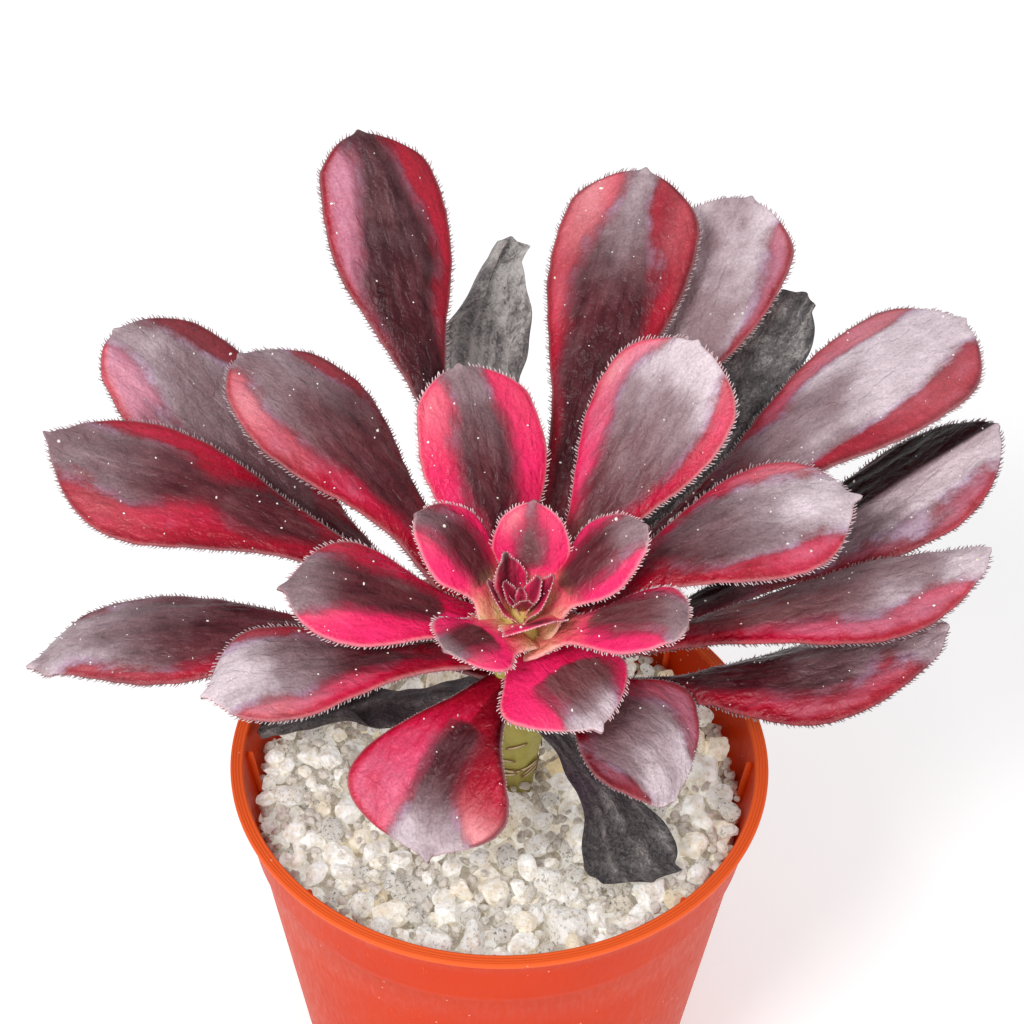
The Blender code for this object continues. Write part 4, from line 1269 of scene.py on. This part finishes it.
def chip_grain(points, rng):
    """A ball broken into a rough stone: flats struck off it, then a pitted skin."""
    shape = points.copy()
    for _ in range(rng.integers(*FLATS)):
        way = unit(rng.normal(0, 1, 3))
        depth = rng.uniform(0.52, 0.88)
        beyond = shape @ way - depth
        shape = shape - np.where(beyond > 0, beyond * 0.96, 0)[:, None] * way
    bumpy = noise(*(points * 1.6 + rng.uniform(0, 60, 3)).T) * 0.18
    pitted = -np.abs(noise(*(points * 4 + rng.uniform(0, 60, 3)).T)) * 0.16
    shape = shape * (1.20 + bumpy + pitted)[:, None]
    stretch = np.array([1.0, rng.uniform(0.66, 1.0), rng.uniform(0.66, 0.9)])
    turn = Matrix.Rotation(rng.uniform(0, 6.28), 3, "Z") @ Matrix.Rotation(rng.uniform(-0.5, 0.5), 3, "X")
    return shape * stretch @ np.array(turn).T


def make_grit(pumice, fines):
    """The loose grains, in one piece for each way that they are finished."""
    rng = seeded("pumice")
    grains = settle_grains(rng)
    for group, kinds, finish in (
        ("pumice_grit_coarse", (COARSE, MEDIUM), pumice),
        ("pumice_grit_small", (SMALL,), pumice),
        ("pumice_grit_fine", (FINE,), fines),
    ):
        shapes, tints, greys = [], [], []
        for kind, place, radius in grains:
            if kind not in kinds:
                continue
            base, triangles = ball(GRAIN_SIZES[kind][3])
            shapes.append((chip_grain(base, rng) * radius + np.array(place), triangles))
            tints.append(np.full(len(base), max(rng.normal(-0.1, 0.35), 0)))
            greys.append(np.full(len(base), rng.choice([0.0, 0.35, 0.9], p=[0.62, 0.26, 0.12])))
        piece = new_piece(group, "grit", *merge(shapes), [finish])
        give(piece, grain_tint=np.clip(np.concatenate(tints), 0, 1), grain_grey=np.concatenate(greys))
        piece.data.set_sharp_from_angle(angle=math.radians(15))
        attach(piece, BODY)
        if COARSE in kinds:
            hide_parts("grit_topping")


def make_grit_bed(finish):
    """The hidden layer under the grains: a rough disc that closes the gaps between them."""
    low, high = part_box("grit_topping")
    low, middle = low.z / MM, GRIT_BED + BED_OVER
    sides, rings = 96, 36
    turn = turns(sides)
    r, a = np.meshgrid(np.linspace(0, 1, rings)[1:] * (GRIT_RADIUS - 0.9), turn, indexing="ij")
    x, y = r * np.cos(a), r * np.sin(a)
    z = middle + 0.8 * noise(x / 2.5, y / 2.5, 5.0) + 0.4 * noise(x, y, 8.0)
    z[-1] -= 1
    top, foot = round_axis(r, a, z).reshape(-1, 3), round_axis(high.x / MM - 1.5, turn, low)
    points = np.vstack([top, foot, [[0, 0, middle], [0, 0, low]]])
    index, after = ring_index(rings, sides)
    faces = quads(index[:-1], index[1:], after[1:], after[:-1])
    faces += [[index[0, i], after[0, i], len(points) - 2] for i in range(sides)]
    faces += [[after[-1, i], index[-1, i], len(points) - 1] for i in range(sides)]
    piece = new_piece("grit_bed", "grit", points, faces, [finish])
    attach(piece, BODY)


DUST_PER_LEAF = 26  # specks on a leaf of the usual length
USUAL_LEAF = 80  # mm
SPECK_LEAST, SPECK_MOST = 0.07, 0.17  # mm, radius
BIG_SPECKS, BIG_SPECK = 0.10, 1.7  # share of them that are bigger, and how much


def make_dust(blades, finish):
    """Specks of pumice dust that have landed on the leaves."""
    rng = seeded("dust")
    base, triangles = ball(1)
    specks = []
    for blade in blades:
        for _ in range(int(blade.y.max() / USUAL_LEAF * DUST_PER_LEAF)):
            row = rng.integers(int(blade.rows * 0.2), blade.rows - 8)
            column = rng.integers(4, blade.columns - 4)
            at = blade.points[row * 2 * blade.columns + column]
            size = rng.uniform(SPECK_LEAST, SPECK_MOST) * (BIG_SPECK if rng.uniform() < BIG_SPECKS else 1)
            shape = base * rng.uniform(0.6, 1.2, (len(base), 1)) * size * rng.uniform(0.7, 1.7, 3)
            specks.append((shape + at + np.array([0, 0, size * 0.3]), triangles))
    piece = new_piece("pumice_dust", "grit", *merge(specks), [finish])
    clean = np.zeros(len(piece.data.vertices))
    give(piece, grain_tint=clean, grain_grey=clean)
    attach(piece, BODY)


# --- stage ---

FLOOR_HALF = 4  # metres
LIGHT_AIM = Vector((0, 0, 0.1))
SKY_COLOUR, SKY_STRENGTH = "#F6F7FB", 0.62
Lamp = namedtuple("Lamp", "place size power colour")  # place and size in metres, power in watts
SOFTBOX = Lamp((-0.40, -0.55, 0.78), 0.32, 4.7, "#FFFFFF")
FILL_LIGHT = Lamp((0.35, -0.90, 0.50), 0.9, 2.6, "#FFFAF6")


def make_camera():
    """The one camera, turned by its rise and its roll."""
    rise, roll = math.radians(CAMERA_RISE), math.radians(CAMERA_ROLL)
    ahead = Vector((0, math.cos(rise), -math.sin(rise)))
    level = Vector((1, 0, 0))
    steep = level.cross(ahead)
    right = math.cos(roll) * level + math.sin(roll) * steep
    above = math.cos(roll) * steep - math.sin(roll) * level
    data = bpy.data.cameras.new("camera")
    data.sensor_width = 36
    data.lens = data.sensor_width / 2 / math.tan(math.radians(CAMERA_VIEW / 2))
    data.clip_start = 0.01
    data.clip_end = 100
    made = bpy.data.objects.new("camera", data)
    bpy.context.scene.collection.objects.link(made)
    turned = Matrix((right, above, -ahead)).transposed().to_4x4()
    made.matrix_world = Matrix.Translation(CAMERA_AIM - ahead * CAMERA_DISTANCE) @ turned
    bpy.context.scene.camera = made


def make_light(name, lamp):
    """A round soft light that faces the plant."""
    data = bpy.data.lights.new(name, "AREA")
    data.shape = "DISK"
    data.size = lamp.size
    data.energy = lamp.power
    data.color = linear(lamp.colour)[:3]
    made = bpy.data.objects.new(name, data)
    bpy.context.scene.collection.objects.link(made)
    made.location = lamp.place
    made.rotation_euler = (LIGHT_AIM - made.location).to_track_quat("-Z", "Y").to_euler()


def make_stage():
    """A pale floor under soft light: a softbox high up on the left, and a wider and weaker one lower
    down in front on the right."""
    mesh = bpy.data.meshes.new("floor")
    build = bmesh.new()
    bmesh.ops.create_grid(build, x_segments=2, y_segments=2, size=FLOOR_HALF)
    build.to_mesh(mesh)
    build.free()
    mesh.materials.append(studio_floor())
    floor = bpy.data.objects.new("floor", mesh)
    bpy.context.scene.collection.objects.link(floor)
    make_light("softbox", SOFTBOX)
    make_light("fill", FILL_LIGHT)
    world = bpy.data.worlds.new("studio")
    world.use_nodes = True
    fill(world.node_tree.nodes["Background"], {"Color": SKY_COLOUR, "Strength": SKY_STRENGTH})
    bpy.context.scene.world = world
    bpy.context.scene.view_settings.view_transform = "Standard"


def main():
    make_camera()
    make_stage()
    skin, hair, charcoal = living_leaf_skin(), margin_hair(), dried_leaf_skin()
    pumice, fines, green = crushed_pumice(), pumice_fines(), green_stem_skin()
    blades = []
    for node in sorted(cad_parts):
        if node in DRIED:
            make_dried_leaf(node, DRIED[node], charcoal)
        elif node == "heart_leaf_bud":
            make_leaf(node, LOOKS[node], skin, hair, BUD_SCALES)
        elif node in LOOKS:
            blades.append(make_leaf(node, LOOKS[node], skin, hair))
    make_dust(blades, pumice)
    make_stem(green)
    make_bark(peeling_bark())
    make_pot(moulded_polypropylene())
    make_grit(pumice, fines)
    make_grit_bed(fines)
    for node, finish in (("potting_mix", damp_potting_mix()), ("stem", green)):
        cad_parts[node].data.materials.clear()
        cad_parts[node].data.materials.append(finish)


main()
